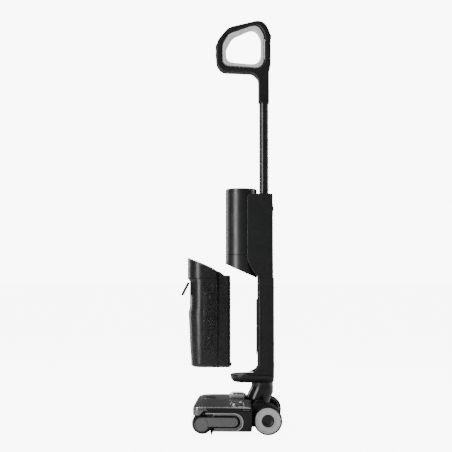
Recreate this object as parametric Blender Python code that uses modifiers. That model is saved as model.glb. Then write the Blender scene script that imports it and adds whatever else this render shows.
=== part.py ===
"""Upright wet and dry floor scrubber with its dirty water tank drawn out in front.

Metres, +Z up. The front faces -Y and the machine is symmetric about X = 0. The floor is Z = 0.
"""
import math

import bmesh
import bpy
from mathutils import Matrix, Vector

# Clearances
GAP = 0.0003            # between pieces that touch
RUN = 0.0005            # round a turning or sliding piece
BAY_GAP = 0.0012        # between the docked tank's lid and the motor's slanted mouth

# Head
HEAD_HALF_WIDTH = 0.1285
PANEL_THICKNESS = 0.0130
POCKET_FLOOR = 0.0025
CHASSIS_BOTTOM = 0.0105
PANEL_TOP = 0.0623
HEAD_REAR = 0.0397
ROLLER_RADIUS = 0.0275
ROLLER_Y = -0.0880
FLEECE_PILE = 0.0072
CORE_WALL = 0.0035
CAP_BELOW_FLEECE = 0.0040
STUB_RADIUS = 0.0055
ARM_THICKNESS = 0.0100
DISC_BELOW_FLEECE = 0.0091
ARM_BAR_END = -0.0045
ARM_BAR_LOW = 0.0228
ARM_BAR_HIGH = 0.0455
SLOT_RADIUS = 0.0218
DECK_THICKNESS = 0.0062
DECK_FRONT = -0.0720
COVER_CROWN = 0.0095
COVER_WALL = 0.0025
COVER_FRONT = -0.1113
COVER_SIDE_TOP = 0.0716

# Wheels
WHEEL_RADIUS = 0.0365
WHEEL_Y = 0.0804
WHEEL_WIDTH = 0.0195
WHEEL_INSET = 0.0105    # from the head's side to the wheel's outer face
DISC_RADIUS = 0.0330
WHEEL_CAP_RADIUS = 0.0157
AXLE_RADIUS = 0.0050

# Neck
PIVOT_Y = 0.0600
PIVOT_Z = 0.0600
BARREL_RADIUS = 0.0200
BARREL_HALF = 0.0455
NECK_HALF_WIDTH = 0.0290
SWIVEL_Y = 0.0653
COLLAR_HEIGHT = 0.0115

# Upper body
SHELF_BOTTOM = 0.1236
SHELF_THICKNESS = 0.0208
SHELF_FRONT = -0.0200
BODY_HALF_WIDTH = 0.0430
SIDE_WALL = 0.0030
SPINE_FRONT = 0.0530
SPINE_REAR_LOW = 0.0972
SPINE_REAR_HIGH = 0.0945
CHANNEL_WALL = 0.0032
CHANNEL_BACK = 0.0868
FRAME_REAR = 0.0905
BAY_HEIGHT = 0.2505     # shelf top to the channel's roof
UPPER_HEIGHT = 0.2205   # channel's roof to the top of the side covers
MOTOR_RADIUS = 0.0420
MOTOR_WALL = 0.0025
MOTOR_Y = 0.0095
MOTOR_RISE = 0.0155     # motor top above the side covers
SEAM_BELOW_TOP = 0.1770
CLEAN_TANK_WALL = 0.0025

# Pole and handle
POLE_RADIUS = 0.0125
POLE_WALL = 0.0015
POLE_Y = 0.0705
POLE_SHOWN = 0.2500
POLE_IN_HANDLE = 0.0500
POLE_IN_BODY = 0.0120
HANDLE_HALF = 0.0150
LINER_HALF = 0.0125

# Dirty water tank, at its docked place; it rests drawn out along its slide
TANK_HALF_WIDTH = 0.0418
TANK_WALL = 0.0025
TANK_REAR = 0.0815
TANK_REAR_HALF = 0.0340
STEP_Y = 0.0490
TANK_OUT_Y = -0.1027
TANK_OUT_Z = 0.0185
SLANT = math.radians(24.0)
LID_HEIGHT = 0.0563
PIPE_RADIUS = 0.0075
PIPE_Y = 0.0370
FLAP_OPEN = math.radians(27.0)

# Middle of the footprint along Y, from the open pull flap's tip to the wheels' rear
FOOTPRINT_MIDDLE = -0.01725

# Derived heights and places
SHELF_TOP = SHELF_BOTTOM + SHELF_THICKNESS
ROOF = SHELF_TOP + BAY_HEIGHT
BODY_TOP = ROOF + UPPER_HEIGHT + 0.0080
MOTOR_TOP = BODY_TOP + MOTOR_RISE
MOTOR_SEAM = MOTOR_TOP - SEAM_BELOW_TOP
MOTOR_FRONT = MOTOR_Y - MOTOR_RADIUS
TANK_BOTTOM = SHELF_TOP + 0.0008
LID_TOP_FRONT = ROOF + 0.0411
LID_SEAM = LID_TOP_FRONT - LID_HEIGHT
TANK_OUT = Vector((0.0, TANK_OUT_Y, TANK_OUT_Z))
HANDLE_BASE = BODY_TOP + POLE_SHOWN
CAP_RADIUS = ROLLER_RADIUS - CAP_BELOW_FLEECE
ARM_DISC = ROLLER_RADIUS - DISC_BELOW_FLEECE
PANEL_INNER = HEAD_HALF_WIDTH - PANEL_THICKNESS
CHASSIS_HALF = PANEL_INNER - 0.0005
POCKET_X = PANEL_INNER + POCKET_FLOOR
ARM_INNER = HEAD_HALF_WIDTH - ARM_THICKNESS
CAP_OUTER = ARM_INNER - 0.0005
CAP_INNER = CAP_OUTER - 0.0090
CORE_END = CAP_INNER - GAP
SLOT_Z = (ARM_BAR_LOW + ARM_BAR_HIGH) / 2
DECK_BOTTOM = PANEL_TOP + GAP
DECK_TOP = DECK_BOTTOM + DECK_THICKNESS
VISOR_TOP = DECK_TOP - 0.0025
WHEEL_OUTER = HEAD_HALF_WIDTH - WHEEL_INSET
WHEEL_INNER = WHEEL_OUTER - WHEEL_WIDTH
HOUSING_HALF = WHEEL_INNER - 0.0035
NOTCH_HALF = BARREL_HALF + 0.0020
NECK_TOP = SHELF_BOTTOM - COLLAR_HEIGHT

TURN = {
    "+X": (0.0, math.pi / 2, 0.0),
    "-X": (0.0, -math.pi / 2, 0.0),
    "+Y": (-math.pi / 2, 0.0, 0.0),
    "-Y": (math.pi / 2, 0.0, 0.0),
    "+Z": (0.0, 0.0, 0.0),
}
SIDES = ((1, "left", "+X"), (-1, "right", "-X"))


def clear_scene():
    for thing in list(bpy.data.objects):
        bpy.data.objects.remove(thing, do_unlink=True)


def new_collection(name):
    collection = bpy.data.collections.new(name)
    bpy.context.scene.collection.children.link(collection)
    return collection


clear_scene()
PARTS = new_collection("floor_scrubber")
CUTTERS = new_collection("cutters")


def paint(name, colour, roughness, metallic=0.0, alpha=1.0):
    material = bpy.data.materials.new(name)
    material.use_nodes = True
    shader = material.node_tree.nodes["Principled BSDF"]
    shader.inputs["Base Color"].default_value = (*colour, 1.0)
    shader.inputs["Roughness"].default_value = roughness
    shader.inputs["Metallic"].default_value = metallic
    shader.inputs["Alpha"].default_value = alpha
    return material


MATTE_BLACK = paint("matte_black", (0.020, 0.020, 0.021), 0.55)
SOFT_BLACK = paint("soft_black", (0.030, 0.030, 0.032), 0.45)
GLOSS_BLACK = paint("gloss_black", (0.012, 0.012, 0.013), 0.15)
GUNMETAL = paint("gunmetal", (0.055, 0.056, 0.058), 0.32, 0.8)
SMOKE = paint("smoke", (0.040, 0.040, 0.042), 0.08, 0.0, 0.55)
CLEAR = paint("clear", (0.45, 0.45, 0.46), 0.06, 0.0, 0.35)
PALE_GREY = paint("pale_grey", (0.62, 0.62, 0.61), 0.45)
MID_GREY = paint("mid_grey", (0.20, 0.20, 0.205), 0.50)
SILVER = paint("silver", (0.70, 0.70, 0.71), 0.25, 0.9)
RUBBER = paint("rubber", (0.015, 0.015, 0.015), 0.80)
FLEECE = paint("fleece", (0.62, 0.61, 0.60), 0.95)
STEEL = paint("steel", (0.50, 0.50, 0.50), 0.30, 1.0)
BOARD_GREEN = paint("board_green", (0.03, 0.16, 0.07), 0.50)
CELL_BLUE = paint("cell_blue", (0.04, 0.10, 0.22), 0.45)
PAPER = paint("filter_white", (0.75, 0.75, 0.73), 0.90)


def add(thing, material=None):
    """Puts a finished object among the parts, with its material."""
    if material is not None:
        thing.data.materials.append(material)
    PARTS.objects.link(thing)
    return thing


def tool(thing):
    """Puts an object among the cutters, out of the render."""
    CUTTERS.objects.link(thing)
    thing.hide_render = True
    thing.display_type = "WIRE"
    return thing


def from_bmesh(name, shape):
    bmesh.ops.recalc_face_normals(shape, faces=shape.faces)
    mesh = bpy.data.meshes.new(name)
    shape.to_mesh(mesh)
    shape.free()
    return bpy.data.objects.new(name, mesh)


def bevel(thing, width, segments=2, angle=30.0):
    if width > 0:
        rounding = thing.modifiers.new("rounded_edges", "BEVEL")
        rounding.width = width
        rounding.segments = segments
        rounding.limit_method = "ANGLE"
        rounding.angle_limit = math.radians(angle)
    return thing


def bevel_outer_edges(thing, side, width, segments=2):
    """Rounds only the rims of a side_solid that face away from the middle."""
    shape = bmesh.new()
    shape.from_mesh(thing.data)
    weights = shape.edges.layers.float.new("bevel_weight_edge")
    for edge in shape.edges:
        outside = min(vertex.co.z * side for vertex in edge.verts) > 0
        edge[weights] = float(outside and edge.calc_face_angle(0.0) > 0.5)
    shape.to_mesh(thing.data)
    shape.free()
    rounding = thing.modifiers.new("rounded_rims", "BEVEL")
    rounding.width = width
    rounding.segments = segments
    rounding.limit_method = "WEIGHT"
    return thing


def boolean(thing, other, operation):
    modifier = thing.modifiers.new(other.name, "BOOLEAN")
    modifier.operation = operation
    modifier.solver = "EXACT"
    modifier.object = other
    return thing


def cut(thing, *others):
    for other in others:
        boolean(thing, tool(other), "DIFFERENCE")
    return thing


def join(thing, *others):
    for other in others:
        boolean(thing, tool(other), "UNION")
    return thing


def keep_common(thing, other):
    return boolean(thing, tool(other), "INTERSECT")


def block(name, low, high, rounding=0.0, segments=1):
    low, high = Vector(low), Vector(high)
    shape = bmesh.new()
    bmesh.ops.create_cube(shape, size=1.0)
    bmesh.ops.scale(shape, vec=high - low, verts=shape.verts)
    thing = from_bmesh(name, shape)
    thing.location = (low + high) / 2
    return bevel(thing, rounding, segments)


def rod(name, start, facing, radius, length, rounding=0.0, sides=24):
    """A cylinder that starts at a point and runs along one axis."""
    shape = bmesh.new()
    bmesh.ops.create_cone(shape, cap_ends=True, segments=sides, radius1=radius,
                          radius2=radius, depth=length)
    bmesh.ops.translate(shape, vec=(0.0, 0.0, length / 2), verts=shape.verts)
    thing = from_bmesh(name, shape)
    thing.location = start
    thing.rotation_euler = TURN[facing]
    return bevel(thing, rounding, 1, 50.0)


def turned(name, profile, start, facing, ring=True, steps=24):
    """A profile of (radius, height) turned about an axis; it runs down its outer side."""
    mesh = bpy.data.meshes.new(name)
    points = [(radius, 0.0, height) for radius, height in profile]
    edges = [(i, i + 1) for i in range(len(points) - 1)]
    if ring:
        edges.append((len(points) - 1, 0))
    mesh.from_pydata(points, edges, [])
    thing = bpy.data.objects.new(name, mesh)
    screw = thing.modifiers.new("turned", "SCREW")
    screw.steps = steps
    screw.render_steps = steps
    screw.use_merge_vertices = True
    screw.merge_threshold = 0.00001
    thing.location = start
    thing.rotation_euler = TURN[facing]
    return thing


def tube_profile(outer, inner, low, high, round_by=0.0):
    """The outline of a plain ring, its outer corners cut by round_by."""
    return [
        (outer - round_by, high), (outer, high - round_by), (outer, low + round_by),
        (outer - round_by, low), (inner, low), (inner, high),
    ] if round_by else [(outer, high), (outer, low), (inner, low), (inner, high)]


def rounded(corners, steps=4):
    """A closed outline of (u, v, radius) corners with each corner turned into an arc."""
    outline = []
    count = len(corners)
    for i, (u, v, radius) in enumerate(corners):
        here = Vector((u, v))
        before = Vector(corners[i - 1][:2]) - here
        after = Vector(corners[(i + 1) % count][:2]) - here
        half = before.angle(after) / 2
        reach = min(radius / math.tan(half), 0.48 * before.length, 0.48 * after.length)
        if radius <= 0 or reach < 0.0002:
            outline.append((u, v))
            continue
        start, end = here + before.normalized() * reach, here + after.normalized() * reach
        centre = here + (before.normalized() + after.normalized()).normalized() * reach / math.cos(half)
        first, last = start - centre, end - centre
        turn = first.angle_signed(last)
        for step in range(steps + 1):
            angle = -turn * step / steps
            ray = Matrix.Rotation(angle, 2) @ first
            outline.append(tuple(centre + ray))
    return outline


def arc(centre, radius, start, end, steps=8, squash=1.0):
    """Points on an arc, in degrees, from start to end; squash scales its second axis."""
    points = []
    for step in range(steps + 1):
        angle = math.radians(start + (end - start) * step / steps)
        points.append((centre[0] + radius * math.cos(angle),
                       centre[1] + squash * radius * math.sin(angle)))
    return points


def flat_solid(name, outlines, thickness, place):
    """A flat outline, with holes as further outlines, given a thickness and turned to its place."""
    curve = bpy.data.curves.new(name, "CURVE")
    curve.dimensions = "2D"
    curve.fill_mode = "BOTH"
    curve.extrude = thickness / 2
    for outline in outlines:
        spline = curve.splines.new("POLY")
        spline.points.add(len(outline) - 1)
        for point, (u, v) in zip(spline.points, outline):
            point.co = (u, v, 0.0, 1.0)
        spline.use_cyclic_u = True
    outline_object = bpy.data.objects.new(name + "_outline", curve)
    bpy.context.scene.collection.objects.link(outline_object)
    bpy.context.view_layer.update()
    graph = bpy.context.evaluated_depsgraph_get()
    mesh = bpy.data.meshes.new_from_object(outline_object.evaluated_get(graph))
    bpy.data.objects.remove(outline_object, do_unlink=True)
    bpy.data.curves.remove(curve)
    shape = bmesh.new()
    shape.from_mesh(mesh)
    bpy.data.meshes.remove(mesh)
    bmesh.ops.remove_doubles(shape, verts=shape.verts, dist=0.000002)
    thing = from_bmesh(name, shape)
    thing.matrix_world = place
    return thing


def side_solid(name, outlines, low_x, high_x, rounding=0.0, segments=1):
    """Outlines in (Y, Z) that span low_x to high_x."""
    across = Matrix(((0, 0, 1, (low_x + high_x) / 2), (1, 0, 0, 0), (0, 1, 0, 0), (0, 0, 0, 1)))
    return bevel(flat_solid(name, outlines, high_x - low_x, across), rounding, segments)


def plan_solid(name, outlines, low_z, high_z, rounding=0.0, segments=1):
    """Outlines in (X, Y) that span low_z to high_z."""
    up = Matrix.Translation((0.0, 0.0, (low_z + high_z) / 2))
    return bevel(flat_solid(name, outlines, high_z - low_z, up), rounding, segments)


def span(side, near, far):
    """The X range between two distances from the middle, on one side."""
    return min(side * near, side * far), max(side * near, side * far)


def lofted(name, rings):
    """A closed body through rings of points, its first and last rings filled."""
    shape = bmesh.new()
    loops = [[shape.verts.new(point) for point in ring] for ring in rings]
    for lower, upper in zip(loops, loops[1:]):
        for i in range(len(lower)):
            j = (i + 1) % len(lower)
            shape.faces.new((lower[i], lower[j], upper[j], upper[i]))
    shape.faces.new(loops[0][::-1])
    shape.faces.new(loops[-1])
    return from_bmesh(name, shape)


def axis_empty(name, place):
    empty = bpy.data.objects.new(name, None)
    empty.location = place
    empty.empty_display_size = 0.02
    PARTS.objects.link(empty)
    return empty


def hang(empty, *things):
    """Parents pieces to the empty on their joint's axis, without moving them."""
    for thing in things:
        thing.parent = empty
        thing.matrix_parent_inverse = Matrix.Translation(-Vector(empty.location))


def hang_on(empty, carrier):
    empty.parent = carrier
    empty.matrix_parent_inverse = Matrix.Translation(-Vector(carrier.location))


# ---------------------------------------------------------------- head

def roller_bore(name, radius, half):
    return rod(name, (-half, ROLLER_Y, ROLLER_RADIUS), "+X", radius, 2 * half, sides=48)


def slot_outline(radius, end, low, high):
    """The stadium of an arm's slot: round at the rear, running out past the head's front."""
    middle = (low + high) / 2
    return arc((end, middle), radius, -90, 90, 12) + [(COVER_FRONT - 0.03, middle + radius),
                                                      (COVER_FRONT - 0.03, middle - radius)]


def make_head():
    chassis = block("head_chassis", (-CHASSIS_HALF, -0.0580, CHASSIS_BOTTOM),
                    (CHASSIS_HALF, HEAD_REAR, PANEL_TOP - 0.0003), 0.0015)
    cut(chassis,
        roller_bore("roller_clearance", ROLLER_RADIUS + 0.0030, 0.20),
        block("chassis_pocket", (-CHASSIS_HALF + 0.012, -0.0450, CHASSIS_BOTTOM + 0.004),
              (CHASSIS_HALF - 0.012, 0.0180, 0.0900)),
        rod("neck_sweep", (-NECK_HALF_WIDTH - 0.0045, PIVOT_Y, PIVOT_Z), "+X",
            0.0325, 2 * NECK_HALF_WIDTH + 0.009))
    add(chassis, MATTE_BLACK)

    blade = side_solid("squeegee_blade", [[
        (-0.0668, 0.0205), (-0.0662, 0.0100), (-0.0640, 0.0014), (-0.0622, 0.0014),
        (-0.0640, 0.0100), (-0.0645, 0.0205)]], -HEAD_HALF_WIDTH, HEAD_HALF_WIDTH)
    cut(blade, roller_bore("blade_clearance", ROLLER_RADIUS + 0.0004, ARM_INNER - GAP))
    add(blade, RUBBER)
    for side, word, facing in SIDES:
        make_head_side(side, word, facing)
    make_rear_housing()


def make_head_side(side, word, facing):
    low, high = span(side, PANEL_INNER, HEAD_HALF_WIDTH - 0.0005)
    panel = side_solid("side_panel_" + word, [rounded([
        (-0.0610, CHASSIS_BOTTOM, 0), (HEAD_REAR, CHASSIS_BOTTOM, 0.004), (HEAD_REAR, PANEL_TOP, 0),
        (-0.0800, PANEL_TOP, 0), (-0.0800, 0.0500, 0), (-0.0610, 0.0400, 0)])], low, high, 0.0010)
    pocket = side_solid("arm_slot_" + word,
                        [slot_outline(SLOT_RADIUS, ARM_BAR_END, ARM_BAR_LOW, ARM_BAR_HIGH)],
                        *span(side, POCKET_X, HEAD_HALF_WIDTH + 0.02))
    cut(panel, roller_bore("panel_roller_clearance_" + word, CAP_RADIUS + 0.0030, 0.20), pocket)
    add(panel, MATTE_BLACK)

    bar = (ARM_BAR_HIGH - ARM_BAR_LOW) / 2
    key = side_solid("roller_arm_" + word, [[
        (ROLLER_Y, ARM_BAR_LOW), (ARM_BAR_END - 0.003, ARM_BAR_LOW)] +
        arc((ARM_BAR_END - 0.003, SLOT_Z), bar, -75, 75, 8) +
        [(ARM_BAR_END - 0.003, ARM_BAR_HIGH), (ROLLER_Y, ARM_BAR_HIGH)]],
        *span(side, ARM_INNER, HEAD_HALF_WIDTH), 0.0008)
    join(key, rod("arm_disc_" + word, (side * ARM_INNER, ROLLER_Y, ROLLER_RADIUS), facing,
                  ARM_DISC, ARM_THICKNESS, 0.0008))
    if side > 0:
        join(key, rod("arm_stub_" + word, (side * (CAP_INNER + 0.001), ROLLER_Y, ROLLER_RADIUS), facing,
                      STUB_RADIUS, ARM_INNER - CAP_INNER + 0.002))
    add(key, MID_GREY)


def make_roller():
    core_radius = ROLLER_RADIUS - FLEECE_PILE
    centre = (0.0, ROLLER_Y, ROLLER_RADIUS)
    core = turned("roller_core",
                  tube_profile(core_radius - GAP, core_radius - CORE_WALL, -CORE_END, CORE_END),
                  centre, "+X")
    fleece = turned("roller_fleece", tube_profile(ROLLER_RADIUS, core_radius, -CORE_END, CORE_END, 0.0015),
                    centre, "+X", steps=36)
    add(core, SOFT_BLACK)
    add(fleece, FLEECE)
    caps = []
    for _, word, facing in SIDES:
        cap = turned("roller_cap_" + word,
                     tube_profile(CAP_RADIUS, STUB_RADIUS + RUN, CAP_INNER, CAP_OUTER, 0.001),
                     centre, facing)
        caps.append(add(cap, GLOSS_BLACK))
    motor_radius = core_radius - CORE_WALL - 0.0015
    motor = rod("brush_motor", (-CAP_INNER + 0.001, ROLLER_Y, ROLLER_RADIUS), "+X",
                motor_radius, 0.115, 0.001)
    join(motor, rod("motor_stub", (-ARM_INNER + GAP, ROLLER_Y, ROLLER_RADIUS), "+X",
                    STUB_RADIUS, 0.020))
    add(motor, STEEL)
    spin = axis_empty("roller_axis", centre)
    hang(spin, core, fleece, *caps)


def cover_height(x, y):
    """The crowned top of the brush cover."""
    across = abs(x) / (HEAD_HALF_WIDTH - 0.0025)
    run_in = min(1.0, (y - COVER_FRONT) / 0.045)
    front_drop = 0.0120 * (1.0 - run_in) ** 2.6 * (1.0 - 0.65 * across ** 2.6)
    rear_drop = 0.0020 * max(0.0, (y + 0.01) / 0.045) ** 2
    crown = COVER_CROWN * (1.0 - across ** 2.6)
    return COVER_SIDE_TOP + crown - front_drop - rear_drop


def make_cover():
    half = HEAD_HALF_WIDTH - 0.0025
    ys = [COVER_FRONT, -0.1098, -0.1065, -0.1010, -0.0930, -0.0820, DECK_FRONT - 0.0006, DECK_FRONT - 0.0003,
          -0.0400, -0.0100, 0.0180, 0.0365]
    xs = [half * f for f in (-1, -0.96, -0.88, -0.74, -0.56, -0.3, 0, 0.3, 0.56, 0.74, 0.88, 0.96, 1)]
    shape = bmesh.new()
    upper = [[shape.verts.new((x, y, cover_height(x, y))) for x in xs] for y in ys]
    lower = [[shape.verts.new((x, y, (DECK_TOP if y > DECK_FRONT - 0.0005 else VISOR_TOP) + GAP)) for x in xs]
             for y in ys]
    rows, columns = len(ys), len(xs)
    for j in range(rows - 1):
        for i in range(columns - 1):
            shape.faces.new((upper[j][i], upper[j][i + 1], upper[j + 1][i + 1], upper[j + 1][i]))
            shape.faces.new((lower[j][i], lower[j + 1][i], lower[j + 1][i + 1], lower[j][i + 1]))
    for i in range(columns - 1):
        shape.faces.new((upper[0][i], lower[0][i], lower[0][i + 1], upper[0][i + 1]))
        shape.faces.new((upper[-1][i], upper[-1][i + 1], lower[-1][i + 1], lower[-1][i]))
    for j in range(rows - 1):
        shape.faces.new((upper[j][0], upper[j + 1][0], lower[j + 1][0], lower[j][0]))
        shape.faces.new((upper[j][-1], lower[j][-1], lower[j + 1][-1], upper[j + 1][-1]))
    top = from_bmesh("cover_top", shape)
    hollow = block("cover_hollow", (-half + 0.004, -0.098, 0.0),
                   (half - 0.004, 0.0320, COVER_SIDE_TOP - 0.0012))
    cut(top, hollow, block("cover_neck_notch", (-NECK_HALF_WIDTH - 0.0045, 0.0185, 0.0),
                           (NECK_HALF_WIDTH + 0.0045, 0.2, 0.2)))
    add(top, SMOKE)

    deck = block("cover_base", (-HEAD_HALF_WIDTH, DECK_FRONT, DECK_BOTTOM),
                 (HEAD_HALF_WIDTH, HEAD_REAR, DECK_TOP), 0.0012)
    cut(deck, block("deck_neck_notch", (-NECK_HALF_WIDTH - 0.0045, 0.0185, 0.0),
                    (NECK_HALF_WIDTH + 0.0045, 0.2, 0.2)))
    add(deck, GLOSS_BLACK)

    visor_rear, visor_inner = DECK_FRONT - 0.0004, HEAD_HALF_WIDTH - COVER_WALL
    outer = rounded([(-HEAD_HALF_WIDTH, visor_rear, 0), (-HEAD_HALF_WIDTH, COVER_FRONT, 0.014),
                     (HEAD_HALF_WIDTH, COVER_FRONT, 0.014), (HEAD_HALF_WIDTH, visor_rear, 0),
                     (visor_inner, visor_rear, 0), (visor_inner, COVER_FRONT + COVER_WALL, 0.011),
                     (-visor_inner, COVER_FRONT + COVER_WALL, 0.011), (-visor_inner, visor_rear, 0)])
    visor = plan_solid("front_visor", [outer], 0.0510, VISOR_TOP)
    cut(visor, side_solid("visor_corner",
               [[(-0.0950, 0.0500), (-0.0700, 0.0500), (-0.0700, PANEL_TOP + 0.0010),
                                            (-0.0820, PANEL_TOP + 0.0010)]], -0.2, 0.2))
    add(visor, SMOKE)

    strip = side_solid("front_strip", [[(-0.1108, 0.0506), (-0.1151, 0.0428), (-0.1158, 0.0408),
                                        (-0.1144, 0.0412), (-0.1133, 0.0432), (-0.1088, 0.0506)]],
                       -HEAD_HALF_WIDTH + 0.008, HEAD_HALF_WIDTH - 0.008)
    add(strip, RUBBER)

    window = block("duct_window", (-0.0290, -0.0220, cover_height(0, -0.02) + GAP),
                   (0.0290, 0.0160, cover_height(0, -0.02) + 0.0122), 0.0045, 3)
    add(window, CLEAR)
    moving = [top, deck, visor, strip, window]
    for side, word, _ in SIDES:
        moving.append(make_cover_button(side, word))
    return moving


def make_cover_button(side, word):
    centre_x, centre_y = side * (HEAD_HALF_WIDTH - 0.0265), 0.0015
    seat = cover_height(abs(centre_x) - 0.0080, centre_y) + GAP
    outline = arc((centre_x, centre_y), 0.0059, 0, 360, 20, 1.85)[:-1]
    key = plan_solid("cover_button_" + word, [outline], seat + 0.0012, seat + 0.0036, 0.0006)
    add(key, GLOSS_BLACK)
    press = axis_empty("cover_button_axis_" + word, (centre_x, centre_y, seat))
    hang(press, key)
    return press


def make_rear_housing():
    housing = side_solid("rear_housing", [rounded([
        (HEAD_REAR + 0.0004, 0.0180, 0), (0.1040, 0.0180, 0.010), (0.1120, 0.0330, 0.012),
        (0.1050, 0.0640, 0.018), (0.0850, 0.0745, 0.012), (HEAD_REAR + 0.0004, 0.0745, 0.003)])],
        -HOUSING_HALF, HOUSING_HALF, 0.0025)
    cut(housing,
        block("neck_notch", (-NOTCH_HALF, 0.0, 0.0340), (NOTCH_HALF, 0.2, 0.2)),
        rod("hinge_bore", (-NOTCH_HALF - 0.0145, PIVOT_Y, PIVOT_Z), "+X", AXLE_RADIUS + GAP,
            2 * NOTCH_HALF + 0.0290),
        rod("axle_bore", (-HOUSING_HALF - 0.01, WHEEL_Y, WHEEL_RADIUS), "+X", AXLE_RADIUS + GAP,
            2 * HOUSING_HALF + 0.02))
    for side, word, facing in SIDES:
        make_wheel(side, word, facing)
    add(housing, MATTE_BLACK)
    pin_half, axle_half = NOTCH_HALF + 0.0140, WHEEL_OUTER - 0.0095
    pin = rod("hinge_pin", (-pin_half, PIVOT_Y, PIVOT_Z), "+X", AXLE_RADIUS, 2 * pin_half)
    axle = rod("wheel_axle", (-axle_half, WHEEL_Y, WHEEL_RADIUS), "+X", AXLE_RADIUS, 2 * axle_half)
    add(pin, STEEL)
    add(axle, STEEL)


def make_wheel(side, word, facing):
    centre = (0.0, WHEEL_Y, WHEEL_RADIUS)
    inner, outer = WHEEL_INNER, WHEEL_OUTER
    tyre = turned("wheel_tyre_" + word,
                  tube_profile(WHEEL_RADIUS, DISC_RADIUS + GAP, inner, outer - 0.0008, 0.0012),
                  centre, facing, steps=40)
    bore, seat = AXLE_RADIUS + GAP, outer - 0.0085
    disc = turned("wheel_disc_" + word, [
        (WHEEL_CAP_RADIUS + GAP, outer - 0.0004), (DISC_RADIUS - 0.0012, outer - 0.0004),
        (DISC_RADIUS, outer - 0.0016), (DISC_RADIUS, inner), (bore, inner), (bore, seat),
        (WHEEL_CAP_RADIUS + GAP, seat)], centre, facing, steps=32)
    cap = turned("wheel_cap_" + word, [
        (0.0, outer), (WHEEL_CAP_RADIUS - 0.0006, outer), (WHEEL_CAP_RADIUS, outer - 0.0006),
        (WHEEL_CAP_RADIUS, seat + GAP), (0.0, seat + GAP)], centre, facing, ring=False)
    add(tyre, RUBBER)
    add(disc, PALE_GREY)
    add(cap, MATTE_BLACK)
    spin = axis_empty("wheel_axis_" + word, (side * (inner + outer) / 2, WHEEL_Y, WHEEL_RADIUS))
    hang(spin, tyre, disc, cap)


def make_neck():
    yoke = side_solid("neck_yoke", [rounded([
        (SWIVEL_Y - 0.0293, NECK_TOP - GAP, 0), (SWIVEL_Y - 0.0375, 0.0960, 0.010),
        (0.0232, 0.0790, 0.006), (0.0300, 0.0600, 0.008), (0.0500, 0.0440, 0.006),
        (0.0700, 0.0440, 0.006), (0.0835, 0.0630, 0.006), (0.0845, 0.0690, 0.004), (0.0880, 0.0840, 0.010),
        (SWIVEL_Y + 0.0293, 0.1000, 0.008), (SWIVEL_Y + 0.0293, NECK_TOP - GAP, 0)])],
        -NECK_HALF_WIDTH, NECK_HALF_WIDTH)
    bevel(yoke, 0.0100, 2, 60.0)
    join(yoke, rod("barrel", (-BARREL_HALF, PIVOT_Y, PIVOT_Z), "+X", BARREL_RADIUS, 2 * BARREL_HALF, 0.001))
    cut(yoke, rod("pin_bore", (-BARREL_HALF - 0.01, PIVOT_Y, PIVOT_Z), "+X", AXLE_RADIUS + GAP,
                  2 * BARREL_HALF + 0.02))
    add(yoke, GLOSS_BLACK)
    tilt = axis_empty("tilt_axis", (0.0, PIVOT_Y, PIVOT_Z))
    hang(tilt, yoke)
    return tilt


# ---------------------------------------------------------------- upper body

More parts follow.
